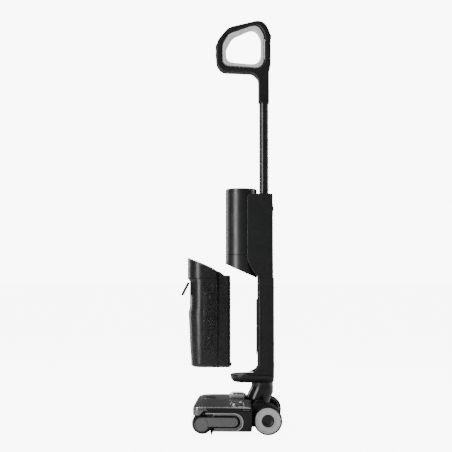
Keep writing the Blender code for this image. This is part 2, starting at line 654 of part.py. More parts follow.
def make_spine():
    nose = BODY_HALF_WIDTH - 0.0010
    plan = [(nose, SPINE_REAR_LOW - 0.012)] + arc((nose - 0.012, SPINE_REAR_LOW - 0.012), 0.012, 0, 90, 4)[1:]
    plan += arc((-nose + 0.012, SPINE_REAR_LOW - 0.012), 0.012, 90, 180, 4)
    plan += arc((0.0, SHELF_FRONT + 0.036), nose, 180, 360, 16, 0.036 / nose)
    shelf = plan_solid("tank_shelf", [plan], SHELF_BOTTOM, SHELF_TOP - 0.0004, 0.0050, 2)
    join(shelf, turned("swivel_collar", tube_profile(0.0290, 0.0120, NECK_TOP, SHELF_BOTTOM + 0.0060),
                       (0.0, SWIVEL_Y, 0.0), "+Z"))
    cut(shelf, rod("duct_bore", (0.0, PIPE_Y, SHELF_BOTTOM - 0.01), "+Z", 0.0090, 0.05),
        turned("seal_groove", tube_profile(0.0165, 0.0130, SHELF_TOP - 0.0035, SHELF_TOP + 0.01),
               (0.0, PIPE_Y, 0.0), "+Z"))
    add(shelf, SOFT_BLACK)
    seal = turned("inlet_seal", tube_profile(0.0162, 0.0133, SHELF_TOP - 0.0032, SHELF_TOP + 0.0002),
                  (0.0, PIPE_Y, 0.0), "+Z")
    add(seal, RUBBER)

    frame_half = BODY_HALF_WIDTH - SIDE_WALL - GAP
    frame = block("spine_frame", (-frame_half, SPINE_FRONT - 0.0005, SHELF_TOP),
                  (frame_half, SPINE_REAR_HIGH - 0.0010, BODY_TOP - 0.0004), 0.0006)
    cut(frame,
        block("channel", (-frame_half + CHANNEL_WALL, 0.0, 0.0),
              (frame_half - CHANNEL_WALL, CHANNEL_BACK, ROOF + 0.0055)),
        block("clean_tank_bay", (-0.1, SPINE_FRONT + 0.0055, ROOF + 0.0080), (0.1, 0.2, BODY_TOP - 0.0180)),
        block("back_cover_seat", (-0.1, FRAME_REAR, 0.0), (0.1, 0.2, ROOF + 0.0084)),
        rod("pole_socket", (0.0, POLE_Y, BODY_TOP - POLE_IN_BODY - GAP), "+Z", POLE_RADIUS + GAP, 0.06))
    add(frame, SOFT_BLACK)

    pad_length, pad_low, pad_front = 0.0705, SHELF_TOP + 0.0550, SPINE_FRONT - 0.0035
    for side, word, _ in SIDES:
        low, high = span(side, frame_half - CHANNEL_WALL, frame_half)
        pad = block("guide_pad_" + word, (low, pad_front, pad_low),
                    (high, SPINE_FRONT - 0.0005 - GAP, pad_low + 2 * pad_length + 0.0030), 0.0008)
        cut(pad, block("pad_break_" + word, (-0.1, 0.0, pad_low + pad_length),
                       (0.1, pad_front + 0.0020, pad_low + pad_length + 0.0030)))
        add(pad, RUBBER)

    for side, word, _ in SIDES:
        low, high = span(side, BODY_HALF_WIDTH - SIDE_WALL, BODY_HALF_WIDTH)
        panel = side_solid("side_cover_" + word, [rounded([
            (0.0290, SHELF_TOP, 0), (SPINE_REAR_LOW - 0.0006, SHELF_TOP, 0),
            (SPINE_REAR_HIGH - 0.0006, BODY_TOP, 0.0015), (0.0270, BODY_TOP, 0.0120),
            (0.0270, ROOF + 0.0560, 0.030),
            (0.0380, ROOF + 0.0310, 0.030), (SPINE_FRONT + 0.0050, ROOF + 0.0020, 0.016),
            (SPINE_FRONT + 0.0050, SHELF_TOP + 0.0270, 0.020), (0.0470, SHELF_TOP + 0.0105, 0.012),
            (0.0290, SHELF_TOP + 0.0010, 0)])], low, high, 0.0010)
        add(panel, MATTE_BLACK)

    half = BODY_HALF_WIDTH - SIDE_WALL - GAP
    back = block("back_cover", (-half, FRAME_REAR + GAP, SHELF_TOP),
                 (half, SPINE_REAR_LOW, ROOF + 0.0060), 0.0015)
    add(back, MATTE_BLACK)


def make_clean_tank():
    half = BODY_HALF_WIDTH - SIDE_WALL - 0.0006
    low, high = ROOF + 0.0086, BODY_TOP - 0.0200
    front, rear = SPINE_FRONT + 0.0064, SPINE_REAR_HIGH
    tank = block("clean_tank", (-half, front, low), (half, rear, high), 0.0030)
    wall = CLEAN_TANK_WALL
    cut(tank,
        block("clean_tank_inside", (-half + wall, front + wall, low + wall),
              (half - wall, rear - wall, high - wall)),
        rod("filler_mouth", (0.022, (front + rear) / 2, high - 0.02), "+Z", 0.0085, 0.05),
        block("button_seat", (-0.0100, rear - 0.0020, high - 0.0230), (0.0100, rear + 0.01, high - 0.0110)))
    add(tank, SMOKE)
    plug = rod("filler_plug", (0.022, (front + rear) / 2, high - wall - 0.003), "+Z",
               0.0082, wall + 0.0045, 0.0005)
    add(plug, RUBBER)
    button = block("tank_button", (-0.0095, rear - 0.0008, high - 0.0225),
                   (0.0095, rear + 0.0022, high - 0.0115),
                   0.0008)
    add(button, SOFT_BLACK)
    pull = axis_empty("clean_tank_axis", (0.0, rear, (low + high) / 2))
    press = axis_empty("tank_button_axis", (0.0, rear, high - 0.0170))
    hang(pull, tank, plug)
    hang(press, button)
    hang_on(press, pull)
    return pull


def mouth_height(y, lift=0.0):
    """The slanted plane between the motor's mouth and the docked tank's lid."""
    return LID_TOP_FRONT + lift - math.tan(SLANT) * (y - MOTOR_FRONT)


def make_motor():
    axis = (0.0, MOTOR_Y, 0.0)
    lens_radius, lens_seat = MOTOR_RADIUS - 0.0075, MOTOR_TOP - 0.0030
    housing = turned("motor_housing", [
        (lens_radius, MOTOR_TOP), (MOTOR_RADIUS - 0.0020, MOTOR_TOP), (MOTOR_RADIUS, MOTOR_TOP - 0.0020),
        (MOTOR_RADIUS, MOTOR_SEAM + 0.0006), (MOTOR_RADIUS - 0.0006, MOTOR_SEAM),
        (MOTOR_RADIUS - MOTOR_WALL, MOTOR_SEAM), (MOTOR_RADIUS - MOTOR_WALL, lens_seat - 0.0015),
        (lens_radius - 0.0030, lens_seat - 0.0015), (lens_radius - 0.0030, lens_seat),
        (lens_radius, lens_seat)],
        axis, "+Z", steps=40)
    add(housing, GUNMETAL)

    lower = turned("motor_lower_housing", tube_profile(MOTOR_RADIUS, MOTOR_RADIUS - MOTOR_WALL,
                                                       ROOF - 0.02, MOTOR_SEAM - GAP), axis, "+Z", steps=40)
    rear = MOTOR_Y + MOTOR_RADIUS
    mouth = side_solid("mouth_slope", [[
        (-0.1, 0.2), (0.15, 0.2), (0.15, mouth_height(rear, BAY_GAP)), (rear, mouth_height(rear, BAY_GAP)),
        (-0.1, mouth_height(-0.1, BAY_GAP))]], -0.1, 0.1)
    add(cut(lower, mouth), GUNMETAL)

    lens = turned("display_lens", [
        (0.0, MOTOR_TOP - 0.0004), (lens_radius - GAP, MOTOR_TOP - 0.0004),
        (lens_radius - GAP, lens_seat + GAP), (0.0, lens_seat + GAP)], axis, "+Z", ring=False, steps=64)
    add(lens, GLOSS_BLACK)

    inner = MOTOR_RADIUS - MOTOR_WALL
    motor = rod("suction_motor", (0.0, MOTOR_Y, MOTOR_SEAM + 0.0080), "+Z", inner - 0.0060, 0.0500, 0.0020)
    fan = turned("impeller", [(0.0, MOTOR_SEAM + 0.0070), (0.0120, MOTOR_SEAM + 0.0070),
                              (inner - 0.0080, MOTOR_SEAM - 0.0010), (inner - 0.0080, MOTOR_SEAM - 0.0040),
                              (0.0, MOTOR_SEAM - 0.0040)], axis, "+Z", ring=False)
    battery = rod("battery_pack", (0.0, MOTOR_Y, MOTOR_SEAM + 0.0640), "+Z", inner - 0.0030, 0.0760, 0.0020)
    board = rod("control_board", (0.0, MOTOR_Y, lens_seat - 0.0180), "+Z", inner - 0.0030, 0.0016)
    add(motor, STEEL)
    add(fan, SILVER)
    add(battery, CELL_BLUE)
    add(board, BOARD_GREEN)
    spin = axis_empty("fan_axis", (0.0, MOTOR_Y, MOTOR_SEAM))
    hang(spin, fan)
    return spin


# ---------------------------------------------------------------- pole and handle

def handle_outer():
    """The loop and its stem, as (Y, height above the stem's foot)."""
    return rounded([
        (POLE_Y - 0.0150, 0.0, 0), (POLE_Y + 0.0145, 0.0, 0), (POLE_Y + 0.0145, 0.0860, 0.020),
        (POLE_Y + 0.0190, 0.1050, 0.020), (POLE_Y + 0.0190, 0.1850, 0.030), (0.0720, 0.2270, 0.034),
        (-0.0250, 0.2050, 0.030), (-0.0530, 0.1720, 0.030), (-0.0584, 0.1540, 0.010),
        (-0.0584, 0.1020, 0.024), (-0.0440, 0.0830, 0.022), (0.0380, 0.0790, 0.016),
        (POLE_Y - 0.0150, 0.0640, 0.022)], 3)


def loop_inner(inset):
    """The loop's opening, moved inwards by inset."""
    return rounded([
        (-0.0422 + inset, 0.1000 + inset, 0.018), (0.0727 - inset, 0.0905 + inset, 0.020),
        (0.0727 - inset, 0.1820 - inset, 0.026), (0.0560 - inset, 0.2150 - inset, 0.020),
        (-0.0260 + inset, 0.1880 - inset, 0.024), (-0.0422 + inset, 0.1580 - inset, 0.020)], 3)


def raise_outline(points):
    return [(y, z + HANDLE_BASE) for y, z in points]


def make_handle():
    pole = turned("pole", tube_profile(POLE_RADIUS, POLE_RADIUS - POLE_WALL, BODY_TOP - POLE_IN_BODY,
                                       HANDLE_BASE + POLE_IN_HANDLE), (0.0, POLE_Y, 0.0), "+Z")
    add(pole, GLOSS_BLACK)
    for side, word, _ in SIDES:
        shell = side_solid("handle_shell_" + word,
                           [raise_outline(handle_outer()), raise_outline(loop_inner(0.0))],
                           *span(side, GAP / 2, HANDLE_HALF))
        bevel_outer_edges(shell, side, 0.0045)
        cut(shell,
            rod("stem_bore_" + word, (0.0, POLE_Y, HANDLE_BASE - 0.02), "+Z", POLE_RADIUS + GAP,
                0.0205 + POLE_IN_HANDLE),
            block("panel_seat_" + word, (-0.0095, -0.0700, HANDLE_BASE + 0.1230),
                  (0.0095, -0.0555, HANDLE_BASE + 0.1600)),
            block("trigger_seat_" + word, (-0.0070, POLE_Y + 0.0165, HANDLE_BASE + 0.1745),
                  (0.0070, 0.2, HANDLE_BASE + 0.1855)))
        add(shell, SOFT_BLACK)
    liner = side_solid("handle_liner", [raise_outline(loop_inner(GAP)), raise_outline(loop_inner(0.0105))],
                       -LINER_HALF, LINER_HALF, 0.0035)
    add(liner, PALE_GREY)
    panel = block("button_panel", (-0.0092, -0.0592, HANDLE_BASE + 0.1233),
                  (0.0092, -0.0558, HANDLE_BASE + 0.1597), 0.0008)
    keys = []
    for word, foot in (("mode_button", 0.1265), ("power_button", 0.1440)):
        seat = block(word + "_seat", (-0.0062, -0.0700, HANDLE_BASE + foot),
                     (0.0062, -0.0572, HANDLE_BASE + foot + 0.0124))
        cut(panel, seat)
        key = block(word, (-0.0059, -0.0600, HANDLE_BASE + foot + GAP),
                    (0.0059, -0.0584, HANDLE_BASE + foot + 0.0121), 0.0005)
        keys.append(add(key, MID_GREY))
    add(panel, GLOSS_BLACK)
    trigger = block("rear_button", (-0.0066, POLE_Y + 0.0178, HANDLE_BASE + 0.1749),
                    (0.0066, POLE_Y + 0.0208, HANDLE_BASE + 0.1851), 0.0009)
    keys.append(add(trigger, MID_GREY))
    presses = []
    for key in keys:
        press = axis_empty(key.name + "_axis", key.location)
        hang(press, key)
        presses.append(press)
    return presses


# ---------------------------------------------------------------- dirty water tank

def tank_ring(z, half_width, front, inset=0.0):
    """The tank's plan at one height: a round front, straight sides and a narrower rear."""
    wide, narrow = half_width - inset, TANK_REAR_HALF - inset
    depth = MOTOR_Y - front - inset
    plan = arc((0.0, MOTOR_Y), wide, 180, 360, 18, depth / wide)
    plan += [(wide, STEP_Y - inset - 0.0015), (wide - 0.0015, STEP_Y - inset), (narrow, STEP_Y - inset),
             (narrow, TANK_REAR - inset - 0.004), (narrow - 0.004, TANK_REAR - inset),
             (-narrow + 0.004, TANK_REAR - inset), (-narrow, TANK_REAR - inset - 0.004),
             (-narrow, STEP_Y - inset), (-wide + 0.0015, STEP_Y - inset), (-wide, STEP_Y - inset - 0.0015)]
    return [(x, y + TANK_OUT_Y, z + TANK_OUT_Z) for x, y in plan]


def tank_levels():
    """Height, half width and front of the tank's wall, from the bottom up."""
    bottom, top = TANK_BOTTOM, LID_SEAM
    tall = top - bottom
    return [
        (bottom, TANK_HALF_WIDTH - 0.0064, -0.0185), (bottom + 0.004, TANK_HALF_WIDTH - 0.0045, -0.0232),
        (bottom + 0.35 * tall, TANK_HALF_WIDTH - 0.0022, -0.0272),
        (bottom + 0.61 * tall, TANK_HALF_WIDTH - 0.0005, -0.0300),
        (bottom + 0.69 * tall, TANK_HALF_WIDTH - 0.0006, -0.0268),
        (bottom + 0.965 * tall, TANK_HALF_WIDTH, -0.0266),
        (top, TANK_HALF_WIDTH, -0.0318)]


def make_tank():
    out = Matrix.Translation(TANK_OUT)
    levels = tank_levels()
    walls = [tank_ring(*level) for level in levels]
    inside = [tank_ring(z if i else z + TANK_WALL, half, front, TANK_WALL)
              for i, (z, half, front) in reversed(list(enumerate(levels)))]
    shell = lofted("tank_shell", walls + inside)
    lip_y, lip_z = TANK_REAR + TANK_OUT_Y, TANK_BOTTOM + TANK_OUT_Z
    lip = side_solid("inlet_lip", [[(lip_y - 0.0020, lip_z + 0.0015), (lip_y + 0.0045, lip_z + 0.0050),
                                    (lip_y - 0.0020, lip_z + 0.0110)]], -0.0260, 0.0260)
    join(shell, lip)
    cut(shell, rod("pipe_hole", (0.0, PIPE_Y + TANK_OUT_Y, TANK_BOTTOM - 0.01 + TANK_OUT_Z), "+Z",
                   PIPE_RADIUS + GAP, 0.03))
    add(shell, SMOKE)

    pipe = turned("standpipe", [
        (PIPE_RADIUS, LID_SEAM - 0.0350), (PIPE_RADIUS, LID_SEAM - 0.0900), (0.0110, LID_SEAM - 0.0905),
        (0.0110, LID_SEAM - 0.0925), (PIPE_RADIUS, LID_SEAM - 0.0930), (PIPE_RADIUS, TANK_BOTTOM + 0.0004),
        (PIPE_RADIUS - 0.0015, TANK_BOTTOM + 0.0004), (PIPE_RADIUS - 0.0015, LID_SEAM - 0.0350)],
        (0.0, PIPE_Y + TANK_OUT_Y, TANK_OUT_Z), "+Z", steps=18)
    add(pipe, PALE_GREY)
    ball = turned("float_valve",
                  tube_profile(0.0125, PIPE_RADIUS + RUN, LID_SEAM - 0.0895, LID_SEAM - 0.0680, 0.001),
                  (0.0, PIPE_Y + TANK_OUT_Y, TANK_OUT_Z), "+Z", steps=18)
    add(ball, PALE_GREY)

    shoulder, rear_y = LID_TOP_FRONT - 0.0476, STEP_Y + 0.0060
    profile = [(-0.2, LID_SEAM - 0.1), (0.2, LID_SEAM - 0.1), (0.2, shoulder), (rear_y + 0.0110, shoulder),
               (rear_y, mouth_height(rear_y)), (-0.2, mouth_height(-0.2))]
    slab = [(x, y - TANK_OUT_Y) for x, y, z in tank_ring(0.0, TANK_HALF_WIDTH, -0.0322)]
    lid = plan_solid("tank_lid", [slab], LID_SEAM + GAP, LID_TOP_FRONT + 0.01)
    lid.matrix_world = out @ lid.matrix_world
    keep_common(lid, moved(side_solid("lid_profile", [profile], -0.1, 0.1), out))
    inner_slab = [(x, y - TANK_OUT_Y) for x, y, z in tank_ring(0.0, TANK_HALF_WIDTH, -0.0322, TANK_WALL)]
    inner_profile = [(y, z - 0.0030) for y, z in profile]
    hollow = moved(plan_solid("lid_hollow", [inner_slab], LID_SEAM - 0.05, LID_TOP_FRONT + 0.01), out)
    keep_common(hollow, moved(side_solid("lid_hollow_profile", [inner_profile], -0.1, 0.1), out))
    facing_up = Matrix.Rotation(-SLANT, 4, "X")
    port_place = Matrix.Translation(Vector((0.0, MOTOR_Y, mouth_height(MOTOR_Y))) + TANK_OUT) @ facing_up
    port = rod("filter_port", (0, 0, 0), "+Z", 0.0246, 0.03)
    port.matrix_world = port_place @ Matrix.Translation((0, 0, -0.015))
    cut(lid, hollow, port)
    add(lid, SMOKE)
    air_filter = turned("tank_filter", tube_profile(0.0240, 0.0060, -0.0075, 0.0006, 0.0006), (0, 0, 0), "+Z")
    air_filter.matrix_world = port_place
    add(air_filter, PAPER)

    hinge = Vector((0.0, -0.0305, LID_SEAM - 0.0120)) + TANK_OUT
    flap = block("pull_flap", (-0.0200, -0.0022, -0.0370), (0.0200, 0.0022, 0.0022), 0.0015)
    flap.matrix_world = Matrix.Translation(hinge) @ Matrix.Rotation(-FLAP_OPEN, 4, "X") @ flap.matrix_basis
    add(flap, SOFT_BLACK)

    slide = axis_empty("tank_axis", TANK_OUT)
    lift = axis_empty("lid_axis", Vector((0.0, MOTOR_Y, LID_SEAM)) + TANK_OUT)
    swing = axis_empty("flap_axis", hinge)
    bob = axis_empty("float_axis", (0.0, PIPE_Y + TANK_OUT_Y, LID_SEAM - 0.09 + TANK_OUT_Z))
    hang(slide, shell, pipe)
    hang(lift, lid, air_filter)
    hang(swing, flap)
    hang(bob, ball)
    for empty in (lift, swing, bob):
        hang_on(empty, slide)
    return slide


def moved(thing, matrix):
    thing.matrix_world = matrix @ thing.matrix_world
    return thing


def centre_on_footprint():
    """Moves everything so that the origin lies at the middle of the whole footprint."""
    shift = Matrix.Translation((0.0, -FOOTPRINT_MIDDLE, 0.0))
    for thing in [*PARTS.objects, *CUTTERS.objects]:
        if thing.parent is None:
            thing.matrix_world = shift @ thing.matrix_basis


def build():
    make_head()
    make_roller()
    lift = axis_empty("cover_axis", (0.0, -0.03, DECK_BOTTOM))
    for thing in make_cover():
        if thing.type == "EMPTY":
            hang_on(thing, lift)
        else:
            hang(lift, thing)
    tilt = make_neck()
    swivel = axis_empty("swivel_axis", (0.0, SWIVEL_Y, NECK_TOP))
    hang_on(swivel, tilt)
    make_spine()
    carried = [make_clean_tank(), make_motor(), make_tank()]
    carried += make_handle()
    for empty in carried:
        hang_on(empty, swivel)
    body = ("tank_shelf", "inlet_seal", "spine_frame", "guide_pad_left", "guide_pad_right", "side_cover_left",
            "side_cover_right", "back_cover", "motor_housing", "motor_lower_housing", "display_lens",
            "suction_motor", "battery_pack", "control_board", "pole", "handle_shell_left",
            "handle_shell_right", "handle_liner", "button_panel")
    hang(swivel, *[PARTS.objects[name] for name in body])
    centre_on_footprint()


build()
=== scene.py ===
import math
import random

import bmesh
import bpy
from mathutils import Matrix, Vector, noise


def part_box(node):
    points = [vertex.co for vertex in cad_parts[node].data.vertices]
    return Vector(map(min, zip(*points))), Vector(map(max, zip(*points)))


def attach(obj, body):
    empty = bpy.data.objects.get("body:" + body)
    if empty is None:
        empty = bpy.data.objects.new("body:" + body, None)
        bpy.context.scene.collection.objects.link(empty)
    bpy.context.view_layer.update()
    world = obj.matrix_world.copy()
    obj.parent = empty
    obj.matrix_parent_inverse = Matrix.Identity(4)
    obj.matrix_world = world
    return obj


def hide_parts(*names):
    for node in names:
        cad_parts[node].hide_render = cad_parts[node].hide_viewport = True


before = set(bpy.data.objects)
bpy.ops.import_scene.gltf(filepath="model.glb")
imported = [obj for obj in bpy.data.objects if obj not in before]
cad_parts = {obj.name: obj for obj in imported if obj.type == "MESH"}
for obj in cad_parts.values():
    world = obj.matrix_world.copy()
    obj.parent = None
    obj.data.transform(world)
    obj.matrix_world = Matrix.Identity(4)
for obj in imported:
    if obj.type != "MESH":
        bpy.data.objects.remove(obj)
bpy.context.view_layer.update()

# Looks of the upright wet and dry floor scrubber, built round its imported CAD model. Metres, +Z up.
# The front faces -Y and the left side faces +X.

SIDES = ((1, "left"), (-1, "right"))


# ---------------------------------------------------------------- materials

def new_material(name):
    """A new node material, with its nodes, links and shader."""
    material = bpy.data.materials.new(name)
    material.use_nodes = True
    nodes = material.node_tree.nodes
    return material, nodes, material.node_tree.links, nodes["Principled BSDF"]


def two_tone(nodes, links, source, dark, light, low=0.35, high=0.65):
    """A colour that drifts between two tones with a texture's value."""
    ramp = nodes.new("ShaderNodeValToRGB")
    ramp.color_ramp.elements[0].position = low
    ramp.color_ramp.elements[1].position = high
    ramp.color_ramp.elements[0].color = (*dark, 1.0)
    ramp.color_ramp.elements[1].color = (*light, 1.0)
    links.new(source, ramp.inputs["Fac"])
    return ramp.outputs["Color"]


def noise_at(nodes, links, size, stretch=(1.0, 1.0, 1.0), detail=3.0):
    """A noise texture whose features are about size metres, longer along a stretched axis."""
    place = nodes.new("ShaderNodeTexCoord")
    mapping = nodes.new("ShaderNodeMapping")
    mapping.inputs["Scale"].default_value = [1.0 / s for s in stretch]
    texture = nodes.new("ShaderNodeTexNoise")
    texture.inputs["Scale"].default_value = 1.0 / size
    texture.inputs["Detail"].default_value = detail
    links.new(place.outputs["Object"], mapping.inputs["Vector"])
    links.new(mapping.outputs["Vector"], texture.inputs["Vector"])
    return texture.outputs["Fac"]


def bumped(nodes, links, shader, height, strength, distance):
    """Fine relief from a texture value."""
    bump = nodes.new("ShaderNodeBump")
    bump.inputs["Strength"].default_value = strength
    bump.inputs["Distance"].default_value = distance
    links.new(height, bump.inputs["Height"])
    links.new(bump.outputs["Normal"], shader.inputs["Normal"])
    return bump


def rough_between(nodes, links, shader, source, low, high):
    """Roughness that drifts between two values."""
    spread = nodes.new("ShaderNodeMapRange")
    spread.inputs["From Min"].default_value = 0.3
    spread.inputs["From Max"].default_value = 0.7
    spread.inputs["To Min"].default_value = low
    spread.inputs["To Max"].default_value = high
    links.new(source, spread.inputs["Value"])
    links.new(spread.outputs["Result"], shader.inputs["Roughness"])


def moulded(name, dark, light, roughness, grain=0.0004, grain_strength=0.25, metallic=0.0,
            coat=0.0, specular=0.5, stretch=(1.0, 1.0, 1.0), alpha=1.0):
    """Moulded or lacquered surface: slow drift of tone, uneven gloss and a fine grain."""
    material, nodes, links, shader = new_material(name)
    drift = noise_at(nodes, links, 0.045, stretch)
    links.new(two_tone(nodes, links, drift, dark, light), shader.inputs["Base Color"])
    rough_between(nodes, links, shader, noise_at(nodes, links, 0.012, stretch), roughness - 0.04,
                  roughness + 0.05)
    fine = noise_at(nodes, links, grain, stretch, 2.0)
    bumped(nodes, links, shader, fine, grain_strength, grain * 0.06)
    shader.inputs["Metallic"].default_value = metallic
    shader.inputs["Coat Weight"].default_value = coat
    shader.inputs["Coat Roughness"].default_value = 0.08
    shader.inputs["Specular IOR Level"].default_value = specular
    shader.inputs["Alpha"].default_value = alpha
    return material


def grey(value, tint=0.0):
    """A grey, leaning towards blue by the tint."""
    return (value, value, value * (1.0 + tint))


MATTE_BLACK = moulded("fine_matte_black", grey(0.0110, 0.04), grey(0.0145, 0.04), 0.50, 0.0005, 0.50,
                      specular=0.30)
SOFT_BLACK = moulded("satin_black", grey(0.0140, 0.04), grey(0.0180, 0.04), 0.36, 0.0004, 0.20, specular=0.42)
GLOSS_BLACK = moulded("gloss_black", grey(0.004, 0.03), grey(0.007, 0.03), 0.22, 0.0200, 0.0, coat=0.15,
                      specular=0.4)
GUNMETAL = moulded("gunmetal_lacquer", grey(0.058, 0.03), grey(0.070, 0.03), 0.34, 0.0004, 0.10,
                   metallic=0.75, stretch=(1.0, 1.0, 3.0))
POLE_BLACK = moulded("pole_lacquer", grey(0.050, 0.03), grey(0.060, 0.03), 0.27, 0.0500, 0.0, metallic=0.70)
PALE_GREY = moulded("pale_satin", grey(0.84, -0.01), grey(0.90, -0.01), 0.38, 0.0005, 0.12)
WHEEL_GREY = moulded("wheel_satin", grey(0.58, 0.0), grey(0.64, 0.0), 0.34, 0.0004, 0.10, metallic=0.15)
MID_GREY = moulded("mid_grey_satin", grey(0.120, 0.01), grey(0.150, 0.01), 0.36, 0.0004, 0.15)
DARK_GREY = moulded("dark_grey_satin", grey(0.0135, 0.02), grey(0.0185, 0.02), 0.40, 0.0005, 0.20,
                    specular=0.3)
SLOT_GREY = moulded("slot_grey", grey(0.24), grey(0.28), 0.40, 0.0004, 0.10)
CHROME = moulded("polished_trim", grey(0.72), grey(0.80), 0.16, 0.0010, 0.02, metallic=1.0)
SATIN_TRIM = moulded("satin_trim", grey(0.36), grey(0.44), 0.30, 0.0005, 0.06, metallic=0.8)
# Lighter metallic grey for thin lines: along the side covers' front edges it is a painted highlight; it also
# draws a light line down the tank's side.
EDGE_HIGHLIGHT_AND_TRIM = moulded("edge_highlight_and_trim", grey(0.10), grey(0.13), 0.36, 0.0005, 0.06, metallic=0.6)
RUBBER = moulded("black_rubber", grey(0.008), grey(0.012), 0.68, 0.0006, 0.45, specular=0.2)
STEEL = moulded("turned_steel", grey(0.42), grey(0.52), 0.28, 0.0003, 0.25, metallic=1.0,
                stretch=(8.0, 1.0, 1.0))
SILVER = moulded("cast_aluminium", grey(0.55), grey(0.65), 0.34, 0.0005, 0.2, metallic=1.0)
SMOKE_COVER = moulded("smoked_cover", grey(0.150, 0.02), grey(0.175, 0.02), 0.28, 0.0200, 0.0,
                      metallic=0.60, coat=0.30)
DARK_LINE = moulded("shadow_line", grey(0.004), grey(0.006), 0.6, 0.0005, 0.1, specular=0.2)


def see_through(name, dark, light, roughness, alpha, coat=0.6):
    """Clear or smoked plastic, thin enough to be drawn as a partly transparent skin."""
    return moulded(name, dark, light, roughness, 0.0060, 0.01, coat=coat, alpha=alpha, specular=0.5)


SMOKED_TANK = see_through("smoked_tank", grey(0.0130, 0.03), grey(0.0170, 0.03), 0.30, 0.92, 0.0)
SMOKED_WINDOW = see_through("smoked_window", grey(0.022, 0.02), grey(0.030, 0.02), 0.24, 0.62, 0.0)
CLEAR = see_through("clear_plastic", grey(0.55), grey(0.62), 0.08, 0.45, 1.0)


def make_fleece_material():
    """Grey looped pile, with painted shade darkening the hollows between the tufts."""
    material, nodes, links, shader = new_material("roller_fleece_pile")
    tufts = nodes.new("ShaderNodeTexVoronoi")
    tufts.inputs["Scale"].default_value = 650.0
    place = nodes.new("ShaderNodeTexCoord")
    links.new(place.outputs["Object"], tufts.inputs["Vector"])
    tone = two_tone(nodes, links, noise_at(nodes, links, 0.006), (0.26, 0.26, 0.25), (0.42, 0.41, 0.40))
    # Darker away from the middle of each tuft: painted shade in the hollows between the tufts.
    shade = nodes.new("ShaderNodeMix")
    shade.data_type = "RGBA"
    shade.blend_type = "MULTIPLY"
    shade.inputs["Factor"].default_value = 0.55
    links.new(tone, shade.inputs["A"])
    links.new(two_tone(nodes, links, tufts.outputs["Distance"], (1.0, 1.0, 1.0), (0.45, 0.45, 0.45), 0.1,
                       0.7), shade.inputs["B"])
    links.new(shade.outputs["Result"], shader.inputs["Base Color"])
    bumped(nodes, links, shader, noise_at(nodes, links, 0.0012), 0.9, 0.0008)
    shader.inputs["Roughness"].default_value = 0.95
    shader.inputs["Sheen Weight"].default_value = 0.6
    shader.inputs["Sheen Roughness"].default_value = 0.5
    shader.inputs["Specular IOR Level"].default_value = 0.1
    return material


def make_banded(name, dark, light, size, direction, roughness, metallic=0.0, strength=0.8, rings=False):
    """Evenly repeated bands, such as filter pleats, cell wraps or the tracks of a board."""
    material, nodes, links, shader = new_material(name)
    place = nodes.new("ShaderNodeTexCoord")
    wave = nodes.new("ShaderNodeTexWave")
    wave.wave_type = "RINGS" if rings else "BANDS"
    if rings:
        wave.rings_direction = direction
    else:
        wave.bands_direction = direction
    wave.inputs["Scale"].default_value = 0.3142 / size
    wave.inputs["Distortion"].default_value = 0.4
    wave.inputs["Detail"].default_value = 1.0
    links.new(place.outputs["Object"], wave.inputs["Vector"])
    links.new(two_tone(nodes, links, wave.outputs["Fac"], dark, light, 0.1, 0.9), shader.inputs["Base Color"])
    rough_between(nodes, links, shader, noise_at(nodes, links, 0.01), roughness, roughness + 0.08)
    bumped(nodes, links, shader, wave.outputs["Fac"], strength, size * 0.3)
    shader.inputs["Metallic"].default_value = metallic
    return material


FLEECE = make_fleece_material()
# The pleated paper's light and dark bands follow its pleats: painted shade on alternate pleat faces, with real
# relief from the same waves.
PAPER = make_banded("pleated_paper", (0.52, 0.51, 0.48), (0.74, 0.73, 0.70), 0.0022, "X", 0.85)
CELLS = make_banded("wrapped_cells", (0.02, 0.07, 0.14), (0.04, 0.13, 0.24), 0.018, "Z", 0.30)
BOARD = make_banded("circuit_board", (0.01, 0.09, 0.04), (0.02, 0.16, 0.07), 0.003, "Y", 0.40, strength=0.3)


# ---------------------------------------------------------------- mesh helpers

def piece_from(name, shape, body, material, smooth=50.0):
    """Turns a bmesh into a piece that rides on a body."""
    bmesh.ops.recalc_face_normals(shape, faces=shape.faces)
    mesh = bpy.data.meshes.new(name)
    shape.to_mesh(mesh)
    shape.free()
    return place_piece(name, mesh, body, material, smooth)


def place_piece(name, mesh, body, material, smooth=50.0):
    """Puts a mesh in the scene as a piece that rides on a body."""
    mesh.materials.clear()
    mesh.materials.append(material)
    piece = bpy.data.objects.new(name, mesh)
    bpy.context.scene.collection.objects.link(piece)
    shade(piece, smooth)
    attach(piece, body)
    return piece


def shade(piece, angle, weighted=False):
    """Smooth shading, broken where faces meet at more than the angle. Weighted keeps wide faces flat."""
    mesh = piece.data
    mesh.polygons.foreach_set("use_smooth", [True] * len(mesh.polygons))
    mesh.set_sharp_from_angle(angle=math.radians(angle))
    mesh.update()
    if weighted:
        weigh = piece.modifiers.new("flat_faces", "WEIGHTED_NORMAL")
        weigh.keep_sharp = True
        bake_modifiers(piece)


def refined(node, body, material, bevel=0.0006, name=None, smooth=40.0, segments=2):
    """A cleaned copy of a CAD node with softened edges, which stands for the node."""
    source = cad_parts[node]
    shape = bmesh.new()
    shape.from_mesh(source.data)
    bmesh.ops.remove_doubles(shape, verts=shape.verts, dist=0.00002)
    bmesh.ops.dissolve_limit(shape, angle_limit=math.radians(1.0), verts=shape.verts, edges=shape.edges)
    mesh = bpy.data.meshes.new(name or node + "_skin")
    shape.to_mesh(mesh)
    shape.free()
    mesh.materials.clear()
    mesh.materials.append(material)
    piece = bpy.data.objects.new(mesh.name, mesh)
    bpy.context.scene.collection.objects.link(piece)
    if bevel:
        soften = piece.modifiers.new("soften", "BEVEL")
        soften.width = bevel
        soften.segments = segments
        soften.limit_method = "ANGLE"
        soften.angle_limit = math.radians(35.0)
        soften.harden_normals = False
        bake_modifiers(piece)
    shade(piece, smooth, weighted=True)
    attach(piece, body)
    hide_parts(node)
    return piece


